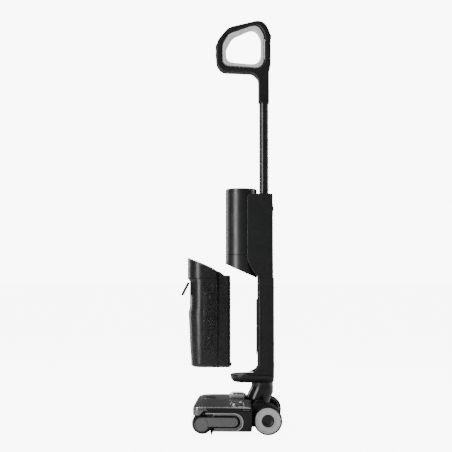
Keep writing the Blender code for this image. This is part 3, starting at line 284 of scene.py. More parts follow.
def bake_modifiers(piece):
    """Replaces a piece's mesh by its evaluated mesh and drops the modifiers."""
    graph = bpy.context.evaluated_depsgraph_get()
    mesh = bpy.data.meshes.new_from_object(piece.evaluated_get(graph))
    piece.modifiers.clear()
    piece.data = mesh


def arc(centre, radius, start, end, steps, squeeze=1.0):
    """Points on an arc, squeezed along its second direction."""
    points = []
    for i in range(steps + 1):
        angle = math.radians(start + (end - start) * i / steps)
        points.append((centre[0] + radius * math.cos(angle), centre[1] + radius * squeeze * math.sin(angle)))
    return points


def rounded(corners, steps=8):
    """A closed outline of (u, v, radius) corners with each corner turned into an arc."""
    outline = []
    count = len(corners)
    for i, (u, v, radius) in enumerate(corners):
        here = Vector((u, v))
        before = Vector(corners[i - 1][:2]) - here
        after = Vector(corners[(i + 1) % count][:2]) - here
        half = before.angle(after) / 2
        reach = min(radius / math.tan(half), 0.48 * before.length, 0.48 * after.length)
        if radius <= 0 or reach < 0.0002:
            outline.append((u, v))
            continue
        start, end = here + before.normalized() * reach, here + after.normalized() * reach
        centre = here + (before.normalized() + after.normalized()).normalized() * reach / math.cos(half)
        first, last = start - centre, end - centre
        turn = first.angle_signed(last)
        for step in range(steps + 1):
            ray = Matrix.Rotation(-turn * step / steps, 2) @ first
            outline.append(tuple(centre + ray))
    return outline


def revolved(name, profile, centre, direction, body, material, steps=96, closed=False,
             smooth=35.0):
    """Turns a profile of (radius, distance along the axis) about an axis through the centre."""
    turn = Vector((0, 0, 1)).rotation_difference(Vector(direction)).to_matrix().to_4x4()
    place = Matrix.Translation(Vector(centre)) @ turn
    shape = bmesh.new()
    rings = []
    for radius, along in profile:
        if radius < 1e-6:
            rings.append([shape.verts.new(place @ Vector((0, 0, along)))])
            continue
        rings.append([shape.verts.new(place @ Vector((radius * math.cos(2 * math.pi * k / steps),
                                                      radius * math.sin(2 * math.pi * k / steps), along)))
                      for k in range(steps)])
    pairs = list(zip(rings, rings[1:]))
    if closed:
        pairs.append((rings[-1], rings[0]))
    for lower, upper in pairs:
        for k in range(steps):
            n = (k + 1) % steps
            corners = [lower[k % len(lower)], lower[n % len(lower)], upper[n % len(upper)],
                       upper[k % len(upper)]]
            unique = list(dict.fromkeys(corners))
            if len(unique) > 2:
                shape.faces.new(unique)
    return piece_from(name, shape, body, material, smooth)


def lofted(name, rings, body, material, caps=True, smooth=35.0, wrap=False):
    """A skin through a row of rings, each with the same number of points."""
    shape = bmesh.new()
    loops = [[shape.verts.new(point) for point in ring] for ring in rings]
    pairs = list(zip(loops, loops[1:]))
    if wrap:
        pairs.append((loops[-1], loops[0]))
    for lower, upper in pairs:
        for k in range(len(lower)):
            n = (k + 1) % len(lower)
            shape.faces.new((lower[k], lower[n], upper[n], upper[k]))
    if caps and not wrap:
        shape.faces.new(loops[0][::-1])
        shape.faces.new(loops[-1])
    return piece_from(name, shape, body, material, smooth)


def wire(name, points, radius, body, material, closed=False, sides=8, flat=1.0, up=(1, 0, 0)):
    """A thin bead swept along points. flat squashes its section along up."""
    path = [Vector(point) for point in points]
    count = len(path)
    across = Vector(up).normalized()
    rings = []
    for i, point in enumerate(path):
        before = path[i - 1] if (i or closed) else point
        after = path[(i + 1) % count] if (i < count - 1 or closed) else point
        along = (after - before).normalized()
        other = along.cross(across)
        other = other.normalized() if other.length > 1e-6 else Vector((0, 1, 0))
        lift = other.cross(along).normalized()
        rings.append([point + other * radius * math.cos(2 * math.pi * k / sides)
                      + lift * radius * flat * math.sin(2 * math.pi * k / sides) for k in range(sides)])
    return lofted(name, rings, body, material, smooth=60.0, wrap=closed)


def plate(name, outlines, low, high, rounding, body, material, plane="X", smooth=40.0,
          resolution=3):
    """A flat plate from closed outlines, the first one its rim and the rest holes, with rounded edges.

    The outlines lie in (Y, Z) for plane X, in (X, Y) for plane Z and in (X, Z) for plane Y.
    """
    curve = bpy.data.curves.new(name + "_outline", "CURVE")
    curve.dimensions = "2D"
    curve.fill_mode = "BOTH"
    thickness = high - low
    curve.extrude = thickness / 2 - rounding
    curve.bevel_depth = rounding
    curve.bevel_resolution = resolution
    curve.offset = -rounding
    for outline in outlines:
        spline = curve.splines.new("POLY")
        spline.points.add(len(outline) - 1)
        spline.use_cyclic_u = True
        for point, (u, v) in zip(spline.points, outline):
            point.co = (u, v, 0.0, 1.0)
    flat = bpy.data.objects.new(name + "_outline", curve)
    bpy.context.scene.collection.objects.link(flat)
    graph = bpy.context.evaluated_depsgraph_get()
    mesh = bpy.data.meshes.new_from_object(flat.evaluated_get(graph))
    bpy.data.objects.remove(flat, do_unlink=True)
    middle = (low + high) / 2
    turns = {
        "X": Matrix(((0, 0, 1, middle), (1, 0, 0, 0), (0, 1, 0, 0), (0, 0, 0, 1))),
        "Y": Matrix(((1, 0, 0, 0), (0, 0, -1, middle), (0, 1, 0, 0), (0, 0, 0, 1))),
        "Z": Matrix.Translation((0, 0, middle)),
    }
    mesh.transform(turns[plane])
    mesh.name = name
    shape = bmesh.new()
    shape.from_mesh(mesh)
    bmesh.ops.remove_doubles(shape, verts=shape.verts, dist=0.00001)
    bpy.data.meshes.remove(mesh)
    piece = piece_from(name, shape, body, material, smooth)
    shade(piece, smooth, weighted=True)
    return piece


def screw(name, place, facing, radius, body, material=DARK_GREY):
    """A countersunk screw head with a cross in it, flush with the surface."""
    turn = Vector((0, 0, 1)).rotation_difference(Vector(facing)).to_matrix().to_4x4()
    revolved(name + "_head", [(0.0, -0.0006), (radius * 0.82, -0.0006), (radius * 0.86, 0.0001),
                              (radius, 0.0002), (radius, -0.0012), (0.0, -0.0012)],
             place, facing, body, material, steps=32)
    matrix = Matrix.Translation(Vector(place)) @ turn
    shape = bmesh.new()
    arm, half = radius * 0.55, radius * 0.13
    for across in (0, 1):
        wide, deep = (arm, half) if across == 0 else (half, arm)
        spot = matrix @ Matrix.Translation((0, 0, -0.0004 - across * 1e-5))
        bmesh.ops.create_cube(shape, size=1.0, matrix=spot @ Matrix.Diagonal((2 * wide, 2 * deep, 0.0005, 1.0)))
    piece_from(name + "_cross", shape, body, DARK_LINE)


def finish_node(node, material):
    """Gives a CAD node, whose shape is right as it is, its material."""
    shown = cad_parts[node]
    for slot in shown.material_slots:
        slot.material = material
    shade(shown, 40.0)


# ---------------------------------------------------------------- measures taken from the frame

HEAD_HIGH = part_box("cover_base")[1]
COVER_LOW, COVER_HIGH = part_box("cover_top")
VISOR_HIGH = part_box("front_visor")[1]
ARM_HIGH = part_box("roller_arm_left")[1]
PANEL_LOW, PANEL_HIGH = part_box("side_panel_left")
FLEECE_LOW, FLEECE_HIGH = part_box("roller_fleece")
SHELF_LOW, SHELF_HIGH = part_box("tank_shelf")
SIDE_LOW, SIDE_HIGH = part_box("side_cover_left")
MOTOR_LOW, MOTOR_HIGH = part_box("motor_housing")
POLE_LOW, POLE_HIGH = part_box("pole")
HANDLE_LOW, HANDLE_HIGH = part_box("handle_shell_left")
TANK_LOW, TANK_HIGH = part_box("tank_shell")
LID_LOW, LID_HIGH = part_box("tank_lid")

HEAD_HALF = HEAD_HIGH.x
MOTOR_RADIUS = MOTOR_HIGH.x
MOTOR_Y = (MOTOR_LOW.y + MOTOR_HIGH.y) / 2
POLE_RADIUS = POLE_HIGH.x
POLE_Y = (POLE_LOW.y + POLE_HIGH.y) / 2
ROLLER = (FLEECE_LOW + FLEECE_HIGH) / 2
ROLLER_RADIUS = FLEECE_HIGH.z - ROLLER.z
TANK_MIDDLE = TANK_LOW.y + 0.0395 + 0.0023    # centre of the tank's round front
LID_TILT = math.radians(24.0)                 # fall of the lid's top towards the rear


# ---------------------------------------------------------------- wheels and roller

def build_wheel(side, word):
    """A grooved tyre, its satin disc and its cap."""
    body = "wheel_" + word
    low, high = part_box("wheel_tyre_" + word)
    radius, width = (high.z - low.z) / 2, high.x - low.x
    inner = low.x if side > 0 else high.x
    centre, outward = (inner, (low.y + high.y) / 2, (low.z + high.z) / 2), (side, 0, 0)
    disc_radius = (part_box("wheel_disc_" + word)[1].z - centre[2])
    cap_radius = (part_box("wheel_cap_" + word)[1].z - centre[2])
    groove, edge = 0.0007, 0.0016
    profile = [(disc_radius + 0.0001, 0.0012), (radius - edge, 0.0), (radius - 0.0004, 0.0011)]
    for k in range(4):
        along = width * (0.2 + 0.2 * k)
        profile += [(radius, along - 0.0007), (radius - groove, along - 0.0004),
                    (radius - groove, along + 0.0004), (radius, along + 0.0007)]
    profile += [(radius - 0.0004, width - 0.0011), (radius - edge, width),
                (disc_radius + 0.0001, width - 0.0012)]
    tyre = revolved("tyre_tread_" + word, profile, centre, outward, body, RUBBER, 128, closed=True)
    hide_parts("wheel_tyre_" + word)
    rim = revolved("wheel_face_" + word, [(0.0053, 0.0015), (disc_radius - 0.0012, 0.0015),
                                          (disc_radius, 0.0030), (disc_radius, width - 0.0014),
                                          (disc_radius - 0.0009, width - 0.0004),
                                          (disc_radius - 0.0042, width - 0.0002),
                                          (disc_radius - 0.0050, width - 0.0012),
                                          (disc_radius - 0.0100, width - 0.0016),
                                          (cap_radius + 0.0030, width - 0.0010),
                                          (cap_radius + 0.0022, width - 0.0002),
                                          (cap_radius + 0.0008, width - 0.0002),
                                          (cap_radius + 0.0003, width - 0.0010),
                                          (cap_radius + 0.0003, width - 0.0050),
                                          (0.0053, width - 0.0052)], centre, outward, body, WHEEL_GREY,
                   128, closed=True)
    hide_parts("wheel_disc_" + word)
    cap = revolved("wheel_hub_" + word, [(0.0, width - 0.0048), (cap_radius, width - 0.0048),
                                         (cap_radius, width - 0.0010), (cap_radius - 0.0008,
                                                                        width - 0.0002),
                                         (cap_radius - 0.0032, width), (cap_radius - 0.0040,
                                                                        width - 0.0006),
                                         (0.0060, width - 0.0011), (0.0052, width - 0.0004),
                                         (0.0, width - 0.0002)], centre, outward, body, SOFT_BLACK,
                   96)
    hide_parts("wheel_cap_" + word)
    for k in range(24):
        angle = 2 * math.pi * k / 24
        notch = [Vector((inner + side * along, centre[1] + math.cos(angle) * (radius + 0.00005),
                         centre[2] + math.sin(angle) * (radius + 0.00005)))
                 for along in (0.0012, width * 0.35, width * 0.65, width - 0.0012)]
        notch[1] += Vector((0, -math.sin(angle), math.cos(angle))) * 0.0016
        notch[2] += Vector((0, -math.sin(angle), math.cos(angle))) * 0.0016
        wire("tread_bar_%s_%02d" % (word, k), notch, 0.00028, body, RUBBER, sides=6)


def build_roller():
    """The fleece sleeve with its loose fibres, and what turns with it."""
    length, steps, rows = FLEECE_HIGH.x - FLEECE_LOW.x, 132, 110
    inner = ROLLER_RADIUS - 0.0071
    rings = [[(FLEECE_LOW.x + 0.0002, ROLLER.y + inner * math.cos(2 * math.pi * k / steps),
               ROLLER.z + inner * math.sin(2 * math.pi * k / steps)) for k in range(steps)]]
    for row in range(rows + 1):
        x = FLEECE_LOW.x + length * row / rows
        end = min(row, rows - row)
        lip = 0.0010 if end == 0 else 0.0003 if end == 1 else 0.0
        ring = []
        for k in range(steps):
            angle = 2 * math.pi * k / steps
            place = Vector((x * 190.0, math.cos(angle) * 5.2, math.sin(angle) * 5.2))
            dip = 0.0007 * (0.5 + 0.5 * noise.noise(place)) + 0.0004 * (0.5 + 0.5 * noise.noise(place * 2.7))
            radius = ROLLER_RADIUS - lip - dip
            ring.append((x, ROLLER.y + radius * math.cos(angle), ROLLER.z + radius * math.sin(angle)))
        rings.append(ring)
    rings.append([(FLEECE_HIGH.x - 0.0002, y, z) for _, y, z in rings[0]])
    sleeve = lofted("fleece_sleeve", rings, "roller", FLEECE, wrap=True, smooth=180.0)
    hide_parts("roller_fleece")
    shape = bmesh.new()
    chance = random.Random(11)
    for k in range(7600):
        at_end = k % 4 == 0
        angle = chance.uniform(0, 2 * math.pi)
        away = Vector((0, math.cos(angle), math.sin(angle)))
        round_about = Vector((0, -math.sin(angle), math.cos(angle)))
        if at_end:
            end = chance.choice((-1, 1))
            root = Vector((end * (FLEECE_HIGH.x - 0.0006), ROLLER.y, ROLLER.z))
            root += away * chance.uniform(inner + 0.001, ROLLER_RADIUS - 0.001)
            tip = root + Vector((end * chance.uniform(0.0001, 0.0008), 0, 0))
            tip += away * chance.uniform(-0.0008, 0.0006) + round_about * chance.uniform(-0.0012, 0.0012)
        else:
            root = Vector((chance.uniform(FLEECE_LOW.x, FLEECE_HIGH.x), ROLLER.y, ROLLER.z))
            root += away * (ROLLER_RADIUS - 0.0012)
            tip = root + away * chance.uniform(0.0006, 0.0012) + round_about * chance.uniform(-0.0012, 0.0012)
            tip.x += chance.uniform(-0.0010, 0.0010)
        beside = Vector((1, 0, 0)) * 0.00016 if not at_end else round_about * 0.00016
        shape.faces.new([shape.verts.new(root - beside), shape.verts.new(root + beside),
                         shape.verts.new(tip)])
    fuzz = piece_from("fleece_fibres", shape, "roller", FLEECE)
    fuzz.location = (0, 0, 0)
    for side, word in SIDES:
        low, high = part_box("roller_cap_" + word)
        outer = (high.z - ROLLER.z)
        inner_x = low.x if side > 0 else high.x
        width = high.x - low.x
        cap = revolved("roller_end_" + word, [
            (0.0060, 0.0), (outer, 0.0), (outer, width - 0.0014), (outer - 0.0010, width - 0.0002),
            (outer - 0.0035, width), (outer - 0.0042, width - 0.0010), (0.0070, width - 0.0010),
            (0.0060, width - 0.0020)], (inner_x, ROLLER.y, ROLLER.z), (side, 0, 0), "roller",
            GLOSS_BLACK, 96, closed=True)
        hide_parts("roller_cap_" + word)
    finish_node("roller_core", SOFT_BLACK)
    finish_node("brush_motor", STEEL)


# ---------------------------------------------------------------- head

SLOT_RADIUS = 0.0218
SLOT_END = ARM_HIGH.y - 0.0084
SLOT_Z = (0.0228 + 0.0455) / 2


def cover_height(x, y):
    """The crowned top of the brush cover, as the frame has it."""
    across = min(1.0, abs(x) / COVER_HIGH.x)
    run_in = min(1.0, max(0.0, (y - COVER_LOW.y) / 0.045))
    front_drop = 0.0120 * (1.0 - run_in) ** 2.6 * (1.0 - 0.65 * across ** 2.6)
    rear_drop = 0.0020 * max(0.0, (y - COVER_HIGH.y + 0.0465) / 0.045) ** 2
    crown = 0.0095 * (1.0 - across ** 2.6)
    return COVER_HIGH.z - 0.0095 + crown - front_drop - rear_drop


def build_head_side(side, word):
    """Side panel, arm, slot and screws on one side of the head."""
    edge = side * HEAD_HALF
    refined("side_panel_" + word, "head", DARK_GREY, 0.0006)
    arm = refined("roller_arm_" + word, "head", MID_GREY, 0.0009, segments=3)
    arm.name = "roller_arm_skin_" + word
    stadium = [(ROLLER.y + 0.0285, SLOT_Z - SLOT_RADIUS)] + arc((SLOT_END, SLOT_Z), SLOT_RADIUS, -90, 90, 28)
    stadium += [(ROLLER.y + 0.0100, SLOT_Z + SLOT_RADIUS)]
    wire("slot_rim_" + word, [(edge - side * 0.0006, y, z) for y, z in stadium], 0.0011, "head",
         WHEEL_GREY, flat=0.8)
    floor_x = side * (PANEL_LOW.x if side > 0 else PANEL_LOW.x) + side * 0.0030
    floor_outline = [(ROLLER.y + 0.0315, SLOT_Z - SLOT_RADIUS + 0.0012)]
    floor_outline += arc((SLOT_END, SLOT_Z), SLOT_RADIUS - 0.0012, -90, 90, 24)
    floor_outline += [(ROLLER.y + 0.0280, SLOT_Z + SLOT_RADIUS - 0.0012)]
    span = sorted((floor_x - side * 0.0002, floor_x + side * 0.0008))
    plate("slot_floor_" + word, [floor_outline], span[0], span[1], 0.0002, "head", SLOT_GREY)
    groove = [(y, z) for y, z in [(ROLLER.y + 0.030, SLOT_Z - 0.0138)] + arc((SLOT_END - 0.002, SLOT_Z),
                                                                             0.0138, -80, 80,
                                                                             18) + [(ROLLER.y + 0.030,
                                                                                     SLOT_Z + 0.0138)]]
    wire("arm_groove_" + word, [(floor_x + side * 0.0010, y, z) for y, z in groove], 0.0022, "head",
         DARK_LINE, flat=0.4)
    hub = (edge, ROLLER.y, ROLLER.z)
    outward = (side, 0, 0)
    revolved("arm_hub_ring_" + word, [(0.0160, -0.0004), (0.0160, 0.0001), (0.0164, 0.0003),
                                      (0.0168, 0.0001), (0.0168, -0.0004)], hub, outward, "head",
             DARK_GREY, 96, closed=True)
    screw("panel_screw_" + word, (side * (HEAD_HALF - 0.0003), PANEL_HIGH.y - 0.0065, PANEL_LOW.z + 0.0085),
          outward, 0.0026, "head")


def trim_path(inset, height, rear):
    """A U along the cover's left side, round its front and back along its right side."""
    half = COVER_HIGH.x + 0.0020 - inset
    front = COVER_LOW.y + inset
    corner = 0.0140
    plan = [(half, rear), (half, front + corner + 0.03)]
    plan += arc((half - corner, front + corner), corner, 0, -90, 10)
    plan += arc((-half + corner, front + corner), corner, 270, 180, 10)
    plan += [(-half, front + corner + 0.03), (-half, rear)]
    path = []
    for (x0, y0), (x1, y1) in zip(plan, plan[1:]):
        steps = max(1, int(math.hypot(x1 - x0, y1 - y0) / 0.006))
        path += [(x0 + (x1 - x0) * k / steps, y0 + (y1 - y0) * k / steps) for k in range(steps)]
    path.append(plan[-1])
    return [(x, y, cover_height(x, y) + height) for x, y in path]


def build_cover_top():
    """The crowned top as one fine skin with a skirt, open where the neck stands."""
    half, columns, rows = COVER_HIGH.x, 60, 44
    notch_front, notch_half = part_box("neck_yoke")[0].y - 0.0050, 0.0335
    floor = HEAD_HIGH.z + 0.0002
    shape = bmesh.new()
    grid = {}
    for i in range(columns + 1):
        for j in range(rows + 1):
            x = half * (2 * i / columns - 1)
            y = COVER_LOW.y + (COVER_HIGH.y - COVER_LOW.y) * (j / rows) ** 1.15
            edge = min(i, columns - i, 3) / 3.0
            drop = 0.0012 * (1.0 - edge) ** 2
            grid[i, j] = shape.verts.new((x, y, cover_height(x, y) - drop))
    for i in range(columns):
        for j in range(rows):
            corners = [grid[i, j], grid[i + 1, j], grid[i + 1, j + 1], grid[i, j + 1]]
            middle = sum((corner.co for corner in corners), Vector()) / 4
            if abs(middle.x) > notch_half or middle.y < notch_front:
                shape.faces.new(corners)
    rim = [edge for edge in shape.edges if edge.is_boundary]
    skirt = bmesh.ops.extrude_edge_only(shape, edges=rim)["geom"]
    for vertex in [item for item in skirt if isinstance(item, bmesh.types.BMVert)]:
        vertex.co.z = min(floor, vertex.co.z - 0.001)
        if vertex.co.y < COVER_LOW.y + 0.034:
            vertex.co.z = min(VISOR_HIGH.z + 0.0002, vertex.co.z)
    for vertex in [vertex for vertex in shape.verts if not vertex.link_faces]:
        shape.verts.remove(vertex)
    top = piece_from("cover_skin", shape, "brush_cover", SMOKE_COVER, 50.0)
    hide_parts("cover_top")


def build_cover():
    """Skirt, trims, windows, buttons and top of the brush cover."""
    build_cover_top()
    refined("cover_base", "brush_cover", GLOSS_BLACK, 0.0008)
    refined("front_visor", "brush_cover", SMOKE_COVER, 0.0009, smooth=50.0, segments=3)
    refined("front_strip", "brush_cover", RUBBER, 0.0006)
    wire("cover_trim", trim_path(0.0010, 0.0008, COVER_HIGH.y - 0.001), 0.0011, "brush_cover", CHROME,
         flat=1.3, up=(0, 0, 1))
    front, rear, half = ROLLER.y + 0.0010, ROLLER.y + 0.0290, 0.0300
    corners = rounded([(-half, front, 0.006), (half, front, 0.006), (half, rear, 0.006),
                       (-half, rear, 0.006)], 6)
    for name, spread, lift, material, slot in (("view_frame", 0.0016, 0.0005, GLOSS_BLACK, "gloss_black"),
                                               ("view_window", 0.0, 0.0008, SMOKED_WINDOW, "smoke")):
        shape = bmesh.new()
        steps = 14
        grid = {}
        for i in range(steps + 1):
            for j in range(steps + 1):
                u, v = 2 * i / steps - 1, 2 * j / steps - 1
                x = (half + spread) * u * (1 - 0.05 * v * v)
                y = (front + rear) / 2 + ((rear - front) / 2 + spread) * v * (1 - 0.04 * u * u)
                rim = 0.0006 if max(abs(u), abs(v)) > 0.999 else 0.0
                grid[i, j] = shape.verts.new((x, y, cover_height(x, y) + lift - rim))
        for i in range(steps):
            for j in range(steps):
                shape.faces.new((grid[i, j], grid[i + 1, j], grid[i + 1, j + 1], grid[i, j + 1]))
        piece_from(name, shape, "brush_cover", material, 60.0)
    wire("view_rim", [(x, y, cover_height(x, y) + 0.0010) for x, y in corners], 0.0005, "brush_cover",
         SATIN_TRIM, closed=True, up=(0, 0, 1))
    duct_low, duct_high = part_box("duct_window")
    refined("duct_window", "brush_cover", CLEAR, 0.0020, segments=4)
    for k in range(5):
        x = duct_low.x + (duct_high.x - duct_low.x) * (0.14 + 0.18 * k)
        wire("duct_rib_%d" % k, [(x, y, duct_high.z + 0.0001) for y in (duct_low.y + 0.006,
                                                                        duct_high.y - 0.006)], 0.0004,
             "brush_cover", SATIN_TRIM)
    channel = [(y, z) for y, z in ((duct_low.y + 0.004, duct_low.z + 0.0015),
                                   (duct_high.y - 0.004, duct_low.z + 0.0015))]
    wire("duct_shadow", [(0.0, y, z) for y, z in channel], 0.0100, "brush_cover", DARK_LINE,
         flat=0.12, up=(0, 0, 1), sides=16)
    for side, word in SIDES:
        low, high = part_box("cover_button_" + word)
        body = "cover_key_" + word
        refined("cover_button_" + word, body, GLOSS_BLACK, 0.0006, segments=3)
        x, y = (low.x + high.x) / 2, (low.y + high.y) / 2
        half_x, half_y = (high.x - low.x) / 2 + 0.0012, (high.y - low.y) / 2 + 0.0012
        ring = [(x + half_x * math.cos(a), y + half_y * math.sin(a)) for a in
                [2 * math.pi * k / 40 for k in range(40)]]
        wire("button_bezel_" + word, [(u, v, cover_height(u, v) + 0.0006) for u, v in ring], 0.0009,
             "brush_cover", CHROME, closed=True, up=(0, 0, 1))
        wide = [(x + 0.0100 * math.cos(a), y + 0.0165 * math.sin(a)) for a in
                [2 * math.pi * k / 48 for k in range(48)]]
        rings = []
        for scale, lift in ((1.14, -0.0010), (1.10, 0.0030), (1.04, 0.0044), (0.92, 0.0044), (0.86, 0.0020),
                            (0.84, 0.0)):
            rings.append([(x + (u - x) * scale, y + (v - y) * scale, cover_height(u, v) + lift) for u,
                          v in wide])
        lofted("button_boss_" + word, rings, "brush_cover", SMOKE_COVER, smooth=50.0)
        wire("button_surround_" + word, [(u, v, cover_height(u, v) + 0.0044) for u, v in wide], 0.0010,
             "brush_cover", SATIN_TRIM, closed=True, up=(0, 0, 1))
        for k in range(2):
            rear = COVER_HIGH.y - 0.010 - 0.009 * k
            wire("rear_mark_%s_%d" % (word, k), [(side * (HEAD_HALF - 0.0030), rear,
                                                  HEAD_HIGH.z - 0.0035), (side * (HEAD_HALF + 0.0001),
                                                                          rear, HEAD_HIGH.z - 0.0035),
                                                 (side * (HEAD_HALF + 0.0001), rear + 0.006,
                                                  HEAD_HIGH.z - 0.0035)], 0.0006, "brush_cover", CHROME)
        for k in range(3):
            wire("cover_mark_%s_%d" % (word, k), [(side * 0.0985, y - 0.030 - 0.006 * k,
                                                   cover_height(0.0985, y - 0.03) + 0.0004),
                                                  (side * 0.1055, y - 0.030 - 0.006 * k,
                                                   cover_height(0.1055, y - 0.03) + 0.0004)], 0.0007,
                 "brush_cover", DARK_LINE, flat=0.5, up=(0, 0, 1))


def build_head():
    """Chassis, housing and underside of the head."""
    refined("head_chassis", "head", MATTE_BLACK, 0.0008)
    refined("rear_housing", "head", MATTE_BLACK, 0.0010, segments=3)
    refined("squeegee_blade", "head", RUBBER, 0.0)
    for node in ("hinge_pin", "wheel_axle"):
        finish_node(node, STEEL)
    for side, word in SIDES:
        build_head_side(side, word)
        for k, y in enumerate((HEAD_HIGH.y - 0.020, HEAD_HIGH.y - 0.080)):
            screw("underside_screw_%s_%d" % (word, k), (side * 0.085, y,
                                                        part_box("head_chassis")[0].z - 0.0001), (0, 0, -1),
                  0.0034, "head")
    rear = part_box("rear_housing")[1]
    for k in range(8):
        x = (1 if k < 4 else -1) * (0.0560 + (k % 4) * 0.0085)
        wire("exhaust_slot_%d" % k, [(x, rear.y - 0.0001, rear.z - 0.030),
                                     (x, rear.y - 0.0001, rear.z - 0.012)], 0.0012, "head", DARK_LINE,
             flat=0.3, up=(0, 1, 0))


def build_neck():
    """The shroud and the barrel that it tilts on."""
    top = SHELF_LOW.z - 0.0003
    low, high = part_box("neck_yoke")
    front, rear = low.y, high.y
    levels = ((0.0, 0.0125, 0.0, 2.0), (0.0075, 0.0090, 0.0, 2.0), (0.0155, 0.0046, 0.0002, 2.03),
              (0.0240, 0.0014, 0.0035, 2.06), (0.0325, 0.0001, 0.0078, 2.1), (0.0415, 0.0024, 0.0100, 2.15),
              (0.0510, 0.0070, 0.0112, 2.2), (0.0590, 0.0150, 0.0170, 2.2), (0.0665, 0.0265, 0.0240, 2.2))
    rings = []
    for drop, back, fore, power in levels:
        near, far = front + back, rear - fore
        centre, deep, wide = (near + far) / 2, (far - near) / 2, 0.0292 - 0.0020 * (drop / 0.0665) ** 3
        ring = []
        for k in range(72):
            angle = 2 * math.pi * k / 72
            c, s = math.cos(angle), math.sin(angle)
            ring.append((wide * math.copysign(abs(c) ** (2 / power), c),
                         centre + deep * math.copysign(abs(s) ** (2 / power), s), top - drop))
        rings.append(ring)
    yoke = lofted("neck_shroud", rings, "neck", GLOSS_BLACK, smooth=60.0)
    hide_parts("neck_yoke")
    pin_low, pin_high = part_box("hinge_pin")
    pivot = ((low.x + high.x) / 2, (pin_low.y + pin_high.y) / 2, (pin_low.z + pin_high.z) / 2)
    half, radius = high.x, 0.0200
    profile = [(0.0053, -half), (radius - 0.0012, -half), (radius, -half + 0.0012)]
    for along in (-0.0350, -0.0310, 0.0310, 0.0350):
        profile += [(radius, along - 0.0006), (radius - 0.0005, along - 0.0003),
                    (radius - 0.0005, along + 0.0003), (radius, along + 0.0006)]
    profile += [(radius, half - 0.0012), (radius - 0.0012, half), (0.0053, half)]
    revolved("neck_barrel", profile, pivot, (1, 0, 0), "neck", SOFT_BLACK, 96, closed=True)
    ring = [(0.0296 * math.cos(a), rear - 0.0293 + 0.0296 * math.sin(a), top - 0.0032)
            for a in [2 * math.pi * k / 64 for k in range(64)]]
    wire("neck_collar_line", ring, 0.0004, "neck", DARK_GREY, closed=True, up=(0, 0, 1))


# ---------------------------------------------------------------- upper body

SPINE_LOW, SPINE_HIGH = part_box("spine_frame")
BACK_LOW, BACK_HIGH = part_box("back_cover")


def side_outline():
    """The side cover's outline in (Y, Z): a low tongue, a straight spine and an S up to the motor."""
    floor, top, seat = SIDE_LOW.z, SIDE_HIGH.z, SPINE_LOW.y + 0.0055
    roof = SIDE_HIGH.z - 0.2285
    front = SIDE_LOW.y
    return rounded([
        (front + 0.0020, floor, 0), (SIDE_HIGH.y, floor, 0), (SIDE_HIGH.y - 0.0027, top, 0.0015),
        (front, top, 0.0120), (front, roof + 0.0560, 0.030), (front + 0.0110, roof + 0.0310, 0.030),
        (seat, roof + 0.0020, 0.016), (seat, floor + 0.0270, 0.020), (front + 0.0200, floor + 0.0105, 0.012),
        (front + 0.0020, floor + 0.0010, 0)], 10)


def build_side_covers():
    """The two side covers of the body, their grooves, seams and screws, and a lighter bead along each front
    edge as painted highlight.
    """
    outline = side_outline()
    for side, word in SIDES:
        low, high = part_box("side_cover_" + word)
        cover = plate("side_panel_skin_" + word, [outline], low.x, high.x, 0.0010, "upper", MATTE_BLACK)
        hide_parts("side_cover_" + word)
        outer = high.x if side > 0 else low.x
        edge = [(y, z) for y,
                z in outline if y < SPINE_LOW.y + 0.0060 and SIDE_LOW.z + 0.002 < z < SIDE_HIGH.z - 0.002]
        edge.sort(key=lambda point: -point[1])
        # The lighter bead along each cover's front edge is painted highlight, standing in for the light on that
        # edge.
        wire("side_edge_highlight_" + word, [(outer - side * 0.0007, y + 0.0001, z) for y, z in edge], 0.0006, "upper",
             EDGE_HIGHLIGHT_AND_TRIM, flat=0.8)
        outward = (side, 0, 0)
        for k, (back, z) in enumerate(((0.0094, SIDE_HIGH.z - 0.0173), (0.0128, SIDE_HIGH.z - 0.2119))):
            screw("side_screw_%s_%d" % (word, k), (outer - side * 0.0002, SIDE_HIGH.y - back, z), outward,
                  0.0028, "upper", DARK_LINE)
        for k in range(2):
            y = SPINE_LOW.y + 0.0105 + 0.0210 * k
            wire("side_groove_%s_%d" % (word, k), [(outer + side * 0.00002, y, SIDE_LOW.z + 0.020),
                                                   (outer + side * 0.00002, y, SIDE_HIGH.z - 0.245)],
                 0.00035, "upper", DARK_LINE, flat=0.5)
        seam = [(outer + side * 0.00002, y, SIDE_HIGH.z - 0.2130) for y in (SPINE_LOW.y + 0.003,
                                                                            SIDE_HIGH.y - 0.001)]
        wire("side_seam_" + word, seam, 0.00035, "upper", DARK_LINE, flat=0.5, up=(1, 0, 0))


def shelf_plan(inset):
    """The shelf's plan in (X, Y): a round nose and straight sides back to the spine's rear."""
    half, rear, reach = SHELF_HIGH.x - inset, SHELF_HIGH.y - inset * 0.3, SHELF_LOW.y + 0.036
    nose = arc((0.0, reach), half, 180, 360, 40, (0.036 - inset) / half)
    corner = 0.010
    return nose + arc((half - corner, rear - corner), corner, 0, 90, 6) + arc((-half + corner, rear - corner),
                                                                            corner, 90, 180, 6)


